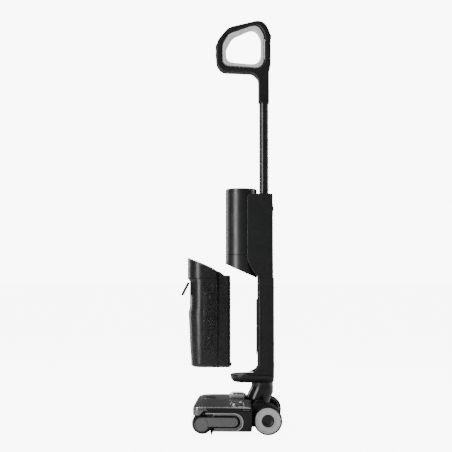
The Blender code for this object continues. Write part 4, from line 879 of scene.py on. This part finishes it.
def build_shelf():
    """The shelf under the dirty tank, with its tray, seam and inlet; the tray's mid grey floor is a painted
    highlight.
    """
    bottom, top = SHELF_HIGH.z - 0.0204, SHELF_HIGH.z
    rings = []
    for share in (0.0, 0.06, 0.14, 0.25, 0.40, 0.60, 0.80, 0.93):
        inset = 0.0120 * (1.0 - math.sqrt(max(0.0, 1.0 - (1.0 - share) ** 2)))
        rings.append([(x, y, bottom + (top - bottom) * share) for x, y in shelf_plan(inset)])
    rings.append([(x, y, top) for x, y in shelf_plan(0.0008)])
    rings.append([(x, y, top) for x, y in shelf_plan(0.0030)])
    rings.append([(x, y, top - 0.0012) for x, y in shelf_plan(0.0036)])
    shelf = lofted("shelf_shell", rings, "upper", SOFT_BLACK, smooth=40.0)
    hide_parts("tank_shelf")
    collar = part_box("neck_yoke")[1].y - 0.0293
    revolved("swivel_collar", [(0.0120, -0.0008), (0.0284, -0.0008), (0.0290, 0.0), (0.0290, 0.0120),
                               (0.0120, 0.0120)], (0, collar, SHELF_LOW.z + 0.0006), (0, 0, 1), "upper",
             SOFT_BLACK, 96, closed=True)
    finish_node("inlet_seal", RUBBER)
    # A mid grey plate on the tray's floor, lighter than the shelf: painted highlight of the light on the
    # shelf's glossy top.
    tray_highlight = [(x, y) for x, y in shelf_plan(0.0042) if y < SPINE_LOW.y - 0.002]
    plate("shelf_tray_painted_highlight", [tray_highlight], top - 0.0013, top - 0.0004, 0.0003, "upper", MID_GREY, plane="Z")
    seam = [(x, y) for x, y in shelf_plan(0.0012) if y < SHELF_HIGH.y - 0.020]
    right = sorted([p for p in seam if p[0] <= 0], key=lambda p: -p[1])
    left = sorted([p for p in seam if p[0] > 0], key=lambda p: p[1])
    seam = right + left
    wire("shelf_seam", [(x * 1.004, y - 0.0002, bottom + (top - bottom) * 0.42) for x, y in seam], 0.0005,
         "upper", DARK_LINE, up=(0, 0, 1))
    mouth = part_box("inlet_seal")
    centre = ((mouth[0].x + mouth[1].x) / 2, (mouth[0].y + mouth[1].y) / 2, mouth[1].z)
    revolved("inlet_funnel", [(0.0128, -0.0004), (0.0128, -0.0030), (0.0096, -0.0060), (0.0088, -0.0180),
                              (0.0084, -0.0180), (0.0090, -0.0058), (0.0122, -0.0026), (0.0122, -0.0004)],
             centre, (0, 0, 1), "upper", DARK_GREY, 64, closed=True)
    for side, word in SIDES:
        revolved("shelf_contact_" + word,
                 [(0.0, 0.0007), (0.0022, 0.0007), (0.0028, 0.0001), (0.0028, -0.0006), (0.0, -0.0006)],
                 (side * 0.022, centre[1] + 0.004, SHELF_HIGH.z + 0.0002), (0, 0, 1), "upper", CHROME,
                 40)


def build_spine():
    """The channel behind the dirty tank and its guide pads."""
    refined("spine_frame", "upper", SOFT_BLACK, 0.0006)
    refined("back_cover", "upper", MATTE_BLACK, 0.0008, segments=3)
    for side, word in SIDES:
        refined("guide_pad_" + word, "upper", RUBBER, 0.0004)
    for k in range(9):
        z = BACK_LOW.z + 0.205 + 0.0052 * k
        wire("back_vent_%d" % k, [(x, BACK_HIGH.y + 0.00005, z) for x in (-0.020, 0.020)], 0.0010, "upper",
             DARK_LINE, flat=0.35, up=(0, 1, 0))
    for side, word in SIDES:
        for k, z in enumerate((BACK_LOW.z + 0.012, BACK_HIGH.z - 0.012)):
            screw("back_screw_%s_%d" % (word, k), (side * 0.031, BACK_HIGH.y - 0.0002, z), (0, 1, 0),
                  0.0026, "upper")
        revolved("charge_contact_" + word, [(0.0, 0.0009), (0.0026, 0.0009), (0.0034, 0.0003),
                                            (0.0034, -0.0008), (0.0, -0.0008)],
                 (side * 0.011, BACK_HIGH.y, BACK_LOW.z + 0.026), (0, 1, 0), "upper", CHROME,
                 48)
    plate("charge_plate", [rounded([(-0.020, BACK_LOW.z + 0.017, 0.006),
                                    (0.020, BACK_LOW.z + 0.017, 0.006),
                                    (0.020, BACK_LOW.z + 0.035, 0.006),
                                    (-0.020, BACK_LOW.z + 0.035, 0.006)])], BACK_HIGH.y - 0.0004,
          BACK_HIGH.y + 0.0003, 0.0003, "upper", GLOSS_BLACK, plane="Y")
    for k in range(6):
        z = SPINE_LOW.z + 0.050 + 0.034 * k
        wire("bay_rib_%d" % k, [(x, BACK_LOW.y - 0.0042, z) for x in (-0.034, 0.034)], 0.0012, "upper",
             SOFT_BLACK, flat=0.7, up=(0, 1, 0))
    collar_z = SPINE_HIGH.z
    revolved("pole_collar", [(POLE_RADIUS + 0.0002, -0.0004), (POLE_RADIUS + 0.0050, -0.0004),
                             (POLE_RADIUS + 0.0050, 0.0012), (POLE_RADIUS + 0.0036, 0.0030),
                             (POLE_RADIUS + 0.0014, 0.0044), (POLE_RADIUS + 0.0002, 0.0044)],
             (0, POLE_Y, collar_z), (0, 0, 1), "upper", SOFT_BLACK, 96, closed=True)


def build_clean_tank():
    """The clean water tank at the back, with its plug and button."""
    low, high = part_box("clean_tank")
    refined("clean_tank", "clean_water", SMOKED_TANK, 0.0014, segments=4)
    refined("tank_button", "clean_key", SOFT_BLACK, 0.0005)
    refined("filler_plug", "clean_water", RUBBER, 0.0004)
    for k in range(8):
        z = low.z + 0.022 + 0.018 * k
        reach = 0.009 if k % 2 else 0.014
        wire("level_mark_%d" % k, [(-0.030, high.y + 0.0001, z), (-0.030 + reach, high.y + 0.0001, z)],
             0.0004, "clean_water", SATIN_TRIM, flat=0.5, up=(0, 1, 0))
    grip = rounded([(-0.016, high.z - 0.036, 0.004), (0.016, high.z - 0.036, 0.004),
                    (0.016, high.z - 0.007, 0.004), (-0.016, high.z - 0.007, 0.004)])
    wire("grip_rim", [(x, high.y + 0.0001, z) for x, z in grip], 0.0006, "clean_water", DARK_GREY,
         closed=True, up=(0, 1, 0))
    frame_outline = rounded([(-0.034, low.z + 0.008, 0.006), (-0.012, low.z + 0.008, 0.006),
                             (-0.012, high.z - 0.044, 0.006), (-0.034, high.z - 0.044, 0.006)])
    wire("level_window_rim", [(x, high.y + 0.0001, z) for x, z in frame_outline], 0.0005, "clean_water",
         DARK_GREY, closed=True, up=(0, 1, 0))
    revolved("filler_pull", [(0.0, 0.0012), (0.0036, 0.0012), (0.0048, 0.0005), (0.0048, -0.0004),
                             (0.0, -0.0004)], (0.022, (low.y + high.y) / 2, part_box("filler_plug")[1].z),
             (0, 0, 1), "clean_water", DARK_GREY, 48)


def build_motor():
    """The motor housings, their seam and the display."""
    seam, top = MOTOR_LOW.z, MOTOR_HIGH.z
    r = MOTOR_RADIUS
    lens_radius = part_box("display_lens")[1].x
    axis = (0.0, MOTOR_Y, 0.0)
    shell = revolved("motor_shell", [(lens_radius + 0.0003, top - 0.0030),
                                     (lens_radius + 0.0003, top - 0.0006),
                                     (lens_radius + 0.0010, top - 0.0001), (r - 0.0040, top),
                                     (r - 0.0020, top - 0.0003), (r - 0.0007, top - 0.0012),
                                     (r - 0.0001, top - 0.0030), (r, top - 0.0060), (r, top - 0.0085),
                                     (r - 0.0005, top - 0.0088), (r - 0.0005, top - 0.0094),
                                     (r, top - 0.0097), (r, seam + 0.0012), (r - 0.0008, seam + 0.0002),
                                     (r - 0.0025, seam), (r - 0.0025, top - 0.0050)], axis, (0, 0, 1),
                     "upper", GUNMETAL, 160, closed=True)
    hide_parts("motor_housing")
    refined("motor_lower_housing", "upper", GUNMETAL, 0.0004, smooth=50.0)
    revolved("motor_seam", [(r - 0.0024, -0.0006), (r - 0.0006, -0.0006), (r - 0.0006, 0.0006),
                            (r - 0.0024, 0.0006)], (0.0, MOTOR_Y, seam), (0, 0, 1), "upper", DARK_LINE,
             128, closed=True)
    finish_node("display_lens", GLOSS_BLACK)
    lens_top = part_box("display_lens")[1].z
    revolved("display_ring", [(0.0185, -0.0001), (0.0188, 0.0002), (0.0196, 0.0002), (0.0199, -0.0001)],
             (0, MOTOR_Y, lens_top), (0, 0, 1), "upper", SATIN_TRIM, 128, closed=True)
    for k in range(24):
        if k in (5, 6, 7):
            continue
        angle = 2 * math.pi * k / 24
        out = Vector((math.cos(angle), math.sin(angle), 0))
        start = Vector((0, MOTOR_Y, lens_top + 0.0001))
        wire("display_tick_%02d" % k, [start + out * 0.0226, start + out * 0.0252], 0.0005, "upper",
             PALE_GREY, flat=0.3, up=(0, 0, 1), sides=6)
    for k in range(3):
        wire("display_bar_%d" % k, [(-0.0060, MOTOR_Y - 0.0050 + 0.0050 * k, lens_top + 0.0001),
                                    (0.0060, MOTOR_Y - 0.0050 + 0.0050 * k, lens_top + 0.0001)],
             0.0007, "upper", PALE_GREY, flat=0.3, up=(0, 0, 1), sides=8)
    for node, material in (("suction_motor", STEEL), ("impeller", SILVER), ("battery_pack", CELLS),
                           ("control_board", BOARD)):
        finish_node(node, material)


# ---------------------------------------------------------------- pole and handle

def build_pole():
    """The lacquered tube and its catch."""
    base, foot = SPINE_HIGH.z, HANDLE_LOW.z
    r = POLE_RADIUS
    tube = revolved("pole_tube", [
        (r - 0.0015, POLE_LOW.z), (r, POLE_LOW.z), (r, foot - 0.0130), (r - 0.0003, foot - 0.0128),
        (r - 0.0003, foot - 0.0122), (r, foot - 0.0120), (r, POLE_HIGH.z), (r - 0.0015, POLE_HIGH.z)],
        (0, POLE_Y, 0), (0, 0, 1), "upper", POLE_BLACK, 96, closed=True)
    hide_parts("pole")
    revolved("pole_catch", [(0.0, 0.0012), (0.0028, 0.0010), (0.0040, 0.0002), (0.0040, -0.0010),
                            (0.0, -0.0010)], (0, POLE_Y + r - 0.0004, base + 0.024), (0, 1, 0), "upper",
             SATIN_TRIM, 48)


def handle_outline(inset=0.0):
    """The loop and its stem in (Y, Z), moved inwards by inset."""
    foot, stem = HANDLE_LOW.z, POLE_Y
    rear, front = HANDLE_HIGH.y - inset, HANDLE_LOW.y + inset
    return rounded([(stem - 0.0150 + inset, foot + inset, 0.001),
                    (stem + 0.0145 - inset, foot + inset, 0.001),
                    (stem + 0.0145 - inset, foot + 0.0860, 0.020), (rear, foot + 0.1050, 0.020),
                    (rear, foot + 0.1850, 0.030), (stem + 0.0015, foot + 0.2270 - inset, 0.034),
                    (front + 0.0334, foot + 0.2050 - inset, 0.030),
                    (front + 0.0054, foot + 0.1720, 0.030), (front, foot + 0.1540, 0.010),
                    (front, foot + 0.1020, 0.024), (front + 0.0144, foot + 0.0830 + inset, 0.022),
                    (stem - 0.0325, foot + 0.0790 + inset, 0.016),
                    (stem - 0.0150 + inset, foot + 0.0640, 0.022)], 10)


def loop_outline(inset):
    """The loop's opening, moved inwards by inset."""
    foot, front, rear = HANDLE_LOW.z, HANDLE_LOW.y + 0.0162, HANDLE_HIGH.y - 0.0168
    return rounded([(front + inset, foot + 0.1000 + inset, 0.018),
                    (rear - inset, foot + 0.0905 + inset, 0.020),
                    (rear - inset, foot + 0.1820 - inset, 0.026),
                    (rear - 0.0167 - inset, foot + 0.2150 - inset, 0.020),
                    (front + 0.0162 + inset, foot + 0.1880 - inset, 0.024),
                    (front + inset, foot + 0.1580 - inset, 0.020)], 10)


def eased(outline, fixed_below, rounds=8, pitch=0.003):
    """The outline with its corners eased into each other, except below a height."""
    points = []
    for (y0, z0), (y1, z1) in zip(outline, outline[1:] + outline[:1]):
        count = max(1, round(math.hypot(y1 - y0, z1 - z0) / pitch))
        points += [Vector((y0 + (y1 - y0) * k / count, z0 + (z1 - z0) * k / count)) for k in range(count)]
    for _ in range(rounds):
        points = [point if point.y < fixed_below else
                  point * 0.5 + (points[i - 1] + points[(i + 1) % len(points)]) * 0.25
                  for i, point in enumerate(points)]
    return [tuple(point) for point in points]


def build_handle():
    """The loop and stem, the liner and the buttons."""
    half = HANDLE_HIGH.x
    shell = plate("handle_shell", [eased(handle_outline(), HANDLE_LOW.z + 0.05),
                                   eased(loop_outline(0.0), 0.0)], -half, half, 0.0048, "upper",
                  SOFT_BLACK, resolution=5)
    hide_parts("handle_shell_left", "handle_shell_right")
    liner_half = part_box("handle_liner")[1].x
    liner = plate("liner_ring", [eased(loop_outline(0.0002), 0.0), eased(loop_outline(0.0105), 0.0)],
                  -liner_half, liner_half, 0.0034, "upper", PALE_GREY, resolution=5)
    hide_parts("handle_liner")
    parting = [(0.0, y, z) for y, z in eased(handle_outline(), HANDLE_LOW.z + 0.05)]
    wire("handle_parting", parting, 0.0002, "upper", DARK_LINE, closed=True, flat=0.6)
    for side, word in SIDES:
        ring = [(side * (liner_half + 0.0004), y, z) for y, z in eased(loop_outline(0.0012), 0.0)]
        wire("liner_gap_" + word, ring, 0.0005, "upper", DARK_LINE, closed=True)
        screw("handle_screw_" + word, (side * (half - 0.0001), POLE_Y, HANDLE_LOW.z + 0.0700),
              (side, 0, 0), 0.0024, "upper")
    low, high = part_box("button_panel")
    refined("button_panel", "upper", GLOSS_BLACK, 0.0006, segments=3)
    for z in (low.z + 0.0012, high.z - 0.0012):
        wire("panel_line_%d" % int(z * 1e4), [(x, low.y - 0.0001, z) for x in (low.x + 0.001,
                                                                               high.x - 0.001)], 0.0004,
             "upper", SATIN_TRIM, up=(0, 1, 0))
    for node, body in (("mode_button", "mode_key"), ("power_button", "power_key")):
        refined(node, body, MID_GREY, 0.0004, segments=3)
        key_low, key_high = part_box(node)
        centre = (key_low + key_high) / 2
        ring = [(centre.x + 0.0026 * math.cos(a), key_low.y - 0.00005, centre.z + 0.0026 * math.sin(a))
                for a in [math.radians(120 + 300 * k / 24) for k in range(25)]]
        if node == "power_button":
            wire("power_mark", ring, 0.0003, body, PALE_GREY, up=(0, 1, 0), sides=6)
            wire("power_stroke", [(centre.x, key_low.y - 0.00005, centre.z + dz) for dz in (0.0008,
                                                                                            0.0036)],
                 0.0003, body, PALE_GREY, up=(0, 1, 0), sides=6)
        else:
            for k in range(2):
                wire("mode_mark_%d" % k, [(centre.x + 0.0008 * dx, key_low.y - 0.00005,
                                           centre.z + (k - 0.5) * 0.0024) for dx in (-3, -1, 1, 3)],
                     0.0003, body, PALE_GREY, up=(0, 1, 0), sides=6)
    refined("rear_button", "rear_key", MID_GREY, 0.0006, segments=3)
    foot = HANDLE_LOW.z
    revolved("stem_ring", [(POLE_RADIUS + 0.0002, -0.0026), (POLE_RADIUS + 0.0016, -0.0026),
                           (POLE_RADIUS + 0.0022, -0.0006), (POLE_RADIUS + 0.0022, 0.0002),
                           (POLE_RADIUS + 0.0002, 0.0002)],
             (0, POLE_Y, foot), (0, 0, 1), "upper", DARK_GREY, 96, closed=True)


# ---------------------------------------------------------------- dirty water tank

FLOAT_LOW, FLOAT_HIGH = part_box("float_valve")
TANK_HALF = LID_HIGH.x


def tank_outline(half, front, inset=0.0, steps=48):
    """The tank's plan at one height: a round front, straight sides and a narrower rear."""
    middle = TANK_MIDDLE
    step, rear, narrow = middle + 0.0391, middle + 0.0720, 0.0340 - inset
    wide = half - inset
    plan = arc((0.0, middle), wide, 180, 360, steps, (middle - front - inset) / wide)
    plan += [(wide, step - inset - 0.0015), (wide - 0.0015, step - inset), (narrow, step - inset),
             (narrow, rear - inset - 0.004), (narrow - 0.004, rear - inset)]
    return plan + [(-x, y) for x, y in reversed(plan[-5:])]


def tank_wall(z):
    """Half width and front of the tank's outer wall at a height, from its moulded levels."""
    tall = TANK_HIGH.z - TANK_LOW.z
    middle = TANK_MIDDLE
    levels = ((0.0, 0.0064, 0.0280), (0.017, 0.0045, 0.0327), (0.35, 0.0022, 0.0367), (0.61, 0.0005, 0.0395),
              (0.69, 0.0006, 0.0363), (0.965, 0.0, 0.0361), (1.0, 0.0, 0.0413))
    share = min(1.0, max(0.0, (z - TANK_LOW.z) / tall))
    for (low, a, b), (high, c, d) in zip(levels, levels[1:]):
        if share <= high:
            t = (share - low) / (high - low)
            t = t * t * (3 - 2 * t) if high - low > 0.05 else t
            return TANK_HALF - (a + (c - a) * t), middle - (b + (d - b) * t)
    return TANK_HALF, middle - levels[-1][2]


def build_tank_shell():
    """The smoked wall of the dirty tank."""
    bottom, top = TANK_LOW.z, TANK_HIGH.z
    heights = [bottom + (top - bottom) * t for t in (0.0, 0.004, 0.010, 0.017, 0.05, 0.12, 0.2, 0.28,
                                                     0.35, 0.42, 0.5, 0.56, 0.61, 0.63, 0.65, 0.67, 0.69,
                                                     0.76, 0.84, 0.92, 0.965, 0.975, 0.985, 1.0)]
    walls = []
    for z in heights:
        half, front = tank_wall(z)
        walls.append([(x, y, z) for x, y in tank_outline(half, front)])
    inside = []
    for z in reversed(heights):
        half, front = tank_wall(z)
        inside.append([(x, y, max(z, bottom + 0.0025)) for x, y in tank_outline(half, front, 0.0025)])
    inside = inside[:-3]
    shell = lofted("tank_body", walls + inside, "dirty_tank", SMOKED_TANK, smooth=40.0)
    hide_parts("tank_shell")


def build_tank_gasket():
    """The seal between the dirty tank and its lid."""
    half, front = tank_wall(TANK_HIGH.z)
    rings = []
    foot, top = TANK_HIGH.z - 0.0030, LID_LOW.z + 0.0030
    for inset, z in ((0.0006, foot), (0.0006, top), (0.0060, top), (0.0060, foot)):
        rings.append([(x, y, z) for x, y in tank_outline(half, front, inset)])
    rings.append(rings[0])
    lofted("tank_gasket", rings, "dirty_tank", RUBBER, smooth=40.0)


def build_tank_shade_sheet():
    """A dark sheet down the middle of the tank, behind the standpipe: painted shade that keeps the see-through
    tank dark inside.
    """
    front, rear = TANK_LOW.y + 0.0120, TANK_HIGH.y - 0.0060
    foot, top = TANK_LOW.z + 0.0060, TANK_HIGH.z - 0.0040
    plate("tank_shade_sheet", [[(front, foot), (rear, foot), (rear, top), (front, top)]], -0.0008, 0.0008, 0.0003,
          "dirty_tank", SOFT_BLACK)


def build_tank_lip():
    """The lip at the foot of the tank's rear."""
    rear, foot = TANK_HIGH.y - 0.0045, TANK_LOW.z
    plate("tank_lip", [[(rear - 0.0020, foot + 0.0010), (rear + 0.0045, foot + 0.0036),
                        (rear + 0.0040, foot + 0.0056), (rear - 0.0020, foot + 0.0120)]], -0.0300, 0.0300,
          0.0004, "dirty_tank", SOFT_BLACK)


def side_strip(name, y_low, y_high, z_low, z_high, proud, radius, body, material, side, steps=16):
    """A thin panel that follows the tank's flat side, with a rounded lower rear corner."""
    outline = rounded([(y_low, z_low, 0.002), (y_high, z_low, radius), (y_high, z_high, 0.002),
                       (y_low, z_high, 0.002)])
    plate_piece = plate(name, [outline], -0.0003, 0.0003, 0.0002, body, material)
    mesh = plate_piece.data
    shape = bmesh.new()
    shape.from_mesh(mesh)
    for k in range(1, steps):
        level = z_low + (z_high - z_low) * k / steps
        bmesh.ops.bisect_plane(shape, geom=shape.verts[:] + shape.edges[:] + shape.faces[:],
                               plane_co=(0, 0, level), plane_no=(0, 0, 1))
    shape.to_mesh(mesh)
    shape.free()
    for vertex in mesh.vertices:
        half, _ = tank_wall(vertex.co.z)
        vertex.co.x = side * (half + proud) + vertex.co.x
    shade(plate_piece, 40.0)
    return plate_piece


def build_tank_details():
    """Windows, lines, feet and fittings of the dirty tank."""
    middle = (FLOAT_LOW.y + FLOAT_HIGH.y) / 2
    window = (TANK_LOW.z + 0.036, TANK_HIGH.z - 0.010)
    front_edge, rear_edge = middle - 0.0250, middle + 0.0065
    for side, word in SIDES:
        side_strip("tank_window_" + word, front_edge, rear_edge, window[0], window[1], 0.0005, 0.0120,
                   "dirty_tank", SMOKED_WINDOW, side)
        outline = rounded([(front_edge, window[0], 0.002), (rear_edge, window[0], 0.0120),
                           (rear_edge, window[1], 0.002), (front_edge, window[1], 0.002)], 8)
        rim = []
        for (y0, z0), (y1, z1) in zip(outline, outline[1:] + outline[:1]):
            count = max(1, int(math.hypot(y1 - y0, z1 - z0) / 0.008))
            for k in range(count):
                y, z = y0 + (y1 - y0) * k / count, z0 + (z1 - z0) * k / count
                rim.append((side * (tank_wall(z)[0] + 0.0006), y, z))
        wire("tank_window_rim_" + word, rim, 0.0004, "dirty_tank", DARK_GREY, closed=True)
        for k, y in enumerate((rear_edge + 0.0028, rear_edge + 0.0052)):
            points = [(side * (tank_wall(z)[0] + 0.0001), y, z) for z in
                      [TANK_LOW.z + 0.004 + (TANK_HIGH.z - TANK_LOW.z - 0.008) * i / 20 for i in range(21)]]
            wire("tank_edge_%s_%d" % (word, k), points, 0.00035, "dirty_tank", EDGE_HIGHLIGHT_AND_TRIM if k else DARK_LINE)
        for k, y in enumerate((middle - 0.022, middle + 0.014)):
            revolved("tank_foot_%s_%d" % (word, k), [(0.0, -0.0008), (0.0028, -0.0008), (0.0034, 0.0),
                                                     (0.0034, 0.0012), (0.0, 0.0012)],
                     (side * 0.026, y, TANK_LOW.z), (0, 0, 1), "dirty_tank", RUBBER, 40)
        revolved("level_dot_" + word, [(0.0, 0.0006), (0.0012, 0.0006), (0.0016, 0.0), (0.0, 0.0)],
                 (side * (tank_wall(TANK_LOW.z + 0.078)[0]), middle - 0.010, TANK_LOW.z + 0.078),
                 (side, 0, 0), "dirty_tank", PALE_GREY, 32)
    line_z = TANK_LOW.z + (TANK_HIGH.z - TANK_LOW.z) * 0.385
    half, front = tank_wall(line_z)
    curve = tank_outline(half + 0.0002, front - 0.0002)
    wire("fill_line", [(x, y, line_z) for x, y in curve[8:41]], 0.0004, "dirty_tank", DARK_LINE,
         up=(0, 0, 1))
    finish_node("standpipe", PALE_GREY)
    ball = refined("float_valve", "float", PALE_GREY, 0.0008, segments=3)
    ball.name = "float_ring"
    radius = FLOAT_HIGH.x
    for k in range(3):
        revolved("float_groove_%d" % k, [(radius - 0.0003, -0.0004), (radius + 0.0002, -0.0004),
                                         (radius + 0.0002, 0.0004), (radius - 0.0003, 0.0004)],
                 (0.0, middle, FLOAT_LOW.z + 0.005 + 0.0055 * k), (0, 0, 1), "float", MID_GREY,
                 64, closed=True)
    for k in range(3):
        low_z = TANK_LOW.z + 0.030 + 0.045 * k
        revolved("pipe_bracket_%d" % k, [(0.0077, 0.0), (0.0105, 0.0), (0.0105, 0.0030), (0.0077, 0.0030)],
                 (0.0, middle, low_z), (0, 0, 1), "dirty_tank", MID_GREY, 64, closed=True)


def build_lid():
    """The lid, its rim, seam and filter."""
    refined("tank_lid", "lid", SMOKED_TANK, 0.0009, smooth=50.0, segments=3)
    refined("tank_filter", "lid", PAPER, 0.0005)
    half, front = TANK_HALF, LID_LOW.y
    middle = TANK_MIDDLE
    slope = math.tan(LID_TILT)
    deep = middle - front
    rim = arc((0.0, middle), half - 0.0022, 200, 340, 60, (deep - 0.0022) / (half - 0.0022))
    rim = [(half - 0.0022, middle + 0.030)] + list(reversed(rim)) + [(-half + 0.0022, middle + 0.030)]
    wire("lid_rim", [(x, y, LID_HIGH.z - slope * (y - LID_LOW.y) + 0.0003) for x, y in rim], 0.0010, "lid",
         SATIN_TRIM, up=(0, 0, 1), flat=0.8)
    seam = arc((0.0, middle), half + 0.0001, 180, 360, 72, (deep + 0.0001) / (half + 0.0001))
    seam = [(-half - 0.0001, middle + 0.036)] + seam + [(half + 0.0001, middle + 0.036)]
    wire("lid_seam", [(x, y, LID_LOW.z + 0.0002) for x, y in seam], 0.0006, "lid", DARK_LINE,
         up=(0, 0, 1))
    filter_low, filter_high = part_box("tank_filter")
    centre = (filter_low + filter_high) / 2
    tilt = Vector((0, math.sin(LID_TILT), math.cos(LID_TILT)))
    revolved("filter_frame", [(0.0240, 0.0006), (0.0242, 0.0024), (0.0262, 0.0026), (0.0275, 0.0014),
                              (0.0275, 0.0004), (0.0248, 0.0004)], centre + tilt * 0.0030, tilt, "lid",
             SATIN_TRIM, 96, closed=True)
    for k in range(28):
        angle = 2 * math.pi * k / 28
        across = tilt.cross(Vector((1, 0, 0))).normalized()
        out = Vector((1, 0, 0)) * math.cos(angle) + across * math.sin(angle)
        wire("filter_pleat_%02d" % k, [centre + tilt * 0.0036 + out * 0.0068,
                                       centre + tilt * 0.0036 + out * 0.0232], 0.0006, "lid", PAPER,
             up=tilt, sides=6)


def build_flap():
    """The pull flap and its ribs."""
    refined("pull_flap", "flap", SOFT_BLACK, 0.0008, segments=4)
    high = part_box("pull_flap")[1]
    tilt = math.radians(27.0)
    down = Vector((0, -math.sin(tilt), -math.cos(tilt)))
    out = Vector((0, -math.cos(tilt), math.sin(tilt)))
    top = Vector((0, high.y - 0.0024, high.z - 0.0022))
    for k in range(5):
        place = top + down * (0.018 + 0.0034 * k) + out * 0.0022
        wire("flap_rib_%d" % k, [place + Vector((x, 0, 0)) for x in (-0.0150, 0.0150)], 0.0007, "flap",
             SOFT_BLACK, up=out)
    for side, word in SIDES:
        revolved("flap_pin_" + word, [(0.0, 0.0), (0.0016, 0.0), (0.0016, 0.0022), (0.0, 0.0022)],
                 (side * high.x, top.y, top.z), (side, 0, 0), "flap", STEEL, 32)


# ---------------------------------------------------------------- studio

def soft_box(name, place, target, size, power, tall=1.0):
    """A soft rectangular light, aimed at a point."""
    light = bpy.data.lights.new(name, "AREA")
    light.shape = "RECTANGLE"
    light.size = size
    light.size_y = size * tall
    light.energy = power
    lamp = bpy.data.objects.new(name, light)
    bpy.context.scene.collection.objects.link(lamp)
    lamp.location = place
    lamp.rotation_euler = (Vector(target) - Vector(place)).to_track_quat("-Z", "Y").to_euler()
    return lamp


BACKDROP = (0.97, 0.97, 0.975, 1.0)    # colour of the wall and floor as the camera sees them
BACKDROP_STRENGTH = 9.0                # seen by the camera only
FLOOR_GLOW = 8.2                       # seen by the camera only, and matched to the wall
ROOM_LIGHT = 0.11                      # what the room sheds on the object
FLOOR_GAP = 0.0004                     # floor below the wheels, so that the faces do not touch


def floor_material():
    """A pale studio floor that glows to the camera only, so that it meets the backdrop with no horizon."""
    material, nodes, links, shader = new_material("pale_floor")
    tone = two_tone(nodes, links, noise_at(nodes, links, 0.30), grey(0.80), grey(0.83))
    links.new(tone, shader.inputs["Base Color"])
    shader.inputs["Roughness"].default_value = 0.7
    shader.inputs["Specular IOR Level"].default_value = 0.2
    glow = nodes.new("ShaderNodeEmission")
    glow.inputs["Color"].default_value = BACKDROP
    path = nodes.new("ShaderNodeLightPath")
    strength = nodes.new("ShaderNodeMath")
    strength.operation = "MULTIPLY"
    strength.inputs[1].default_value = FLOOR_GLOW
    links.new(path.outputs["Is Camera Ray"], strength.inputs[0])
    links.new(strength.outputs["Value"], glow.inputs["Strength"])
    both = nodes.new("ShaderNodeAddShader")
    links.new(shader.outputs["BSDF"], both.inputs[0])
    links.new(glow.outputs["Emission"], both.inputs[1])
    links.new(both.outputs["Shader"], nodes["Material Output"].inputs["Surface"])
    return material


def build_studio():
    """The backdrop, the floor and four soft lights."""
    scene = bpy.context.scene
    world = bpy.data.worlds.new("studio")
    scene.world = world
    world.use_nodes = True
    nodes, links = world.node_tree.nodes, world.node_tree.links
    seen = nodes["Background"]
    seen.inputs["Color"].default_value = BACKDROP
    seen.inputs["Strength"].default_value = BACKDROP_STRENGTH
    lit = nodes.new("ShaderNodeBackground")
    lit.inputs["Color"].default_value = (0.95, 0.96, 1.0, 1.0)
    lit.inputs["Strength"].default_value = ROOM_LIGHT
    path = nodes.new("ShaderNodeLightPath")
    mix = nodes.new("ShaderNodeMixShader")
    links.new(path.outputs["Is Camera Ray"], mix.inputs["Fac"])
    links.new(lit.outputs["Background"], mix.inputs[1])
    links.new(seen.outputs["Background"], mix.inputs[2])
    links.new(mix.outputs["Shader"], nodes["World Output"].inputs["Surface"])

    shape = bmesh.new()
    bmesh.ops.create_grid(shape, x_segments=2, y_segments=2, size=60.0)
    mesh = bpy.data.meshes.new("floor")
    shape.to_mesh(mesh)
    shape.free()
    mesh.materials.append(floor_material())
    floor = bpy.data.objects.new("floor", mesh)
    bpy.context.scene.collection.objects.link(floor)
    floor.location = (0, 0, -FLOOR_GAP)

    centre = (0.0, 0.0, 0.5)
    soft_box("front_strip_light", (1.30, -1.05, 0.70), centre, 0.50, 26.0, 3.4)
    soft_box("rear_strip_light", (-0.60, 1.75, 0.65), centre, 0.45, 20.0, 3.2)
    soft_box("front_fill", (-1.2, -1.8, 0.8), centre, 0.6, 16.0, 2.6)
    soft_box("overhead", (-1.2, -0.1, 2.3), centre, 1.5, 34.0, 1.0)


def build_camera():
    """The camera on the machine's left side."""
    camera = bpy.data.cameras.new("camera")
    camera.lens = 72.47
    camera.sensor_width = 36.0
    camera.shift_y = 0.035
    camera.clip_start = 0.05
    holder = bpy.data.objects.new("camera", camera)
    bpy.context.scene.collection.objects.link(holder)
    pitch, yaw = 0.0397, 0.0439
    aim = Vector((-math.cos(pitch) * math.cos(yaw), -math.cos(pitch) * math.sin(yaw), math.sin(pitch)))
    holder.location = (2.4477, POLE_Y + 0.0053, 0.400)
    holder.rotation_euler = aim.to_track_quat("-Z", "Y").to_euler()
    bpy.context.scene.camera = holder


for side, word in SIDES:
    build_wheel(side, word)
build_roller()
build_head()
build_cover()
build_neck()
build_side_covers()
build_shelf()
build_spine()
build_clean_tank()
build_motor()
build_pole()
build_handle()
build_tank_shell()
build_tank_gasket()
build_tank_shade_sheet()
build_tank_lip()
build_tank_details()
build_lid()
build_flap()
build_studio()
build_camera()
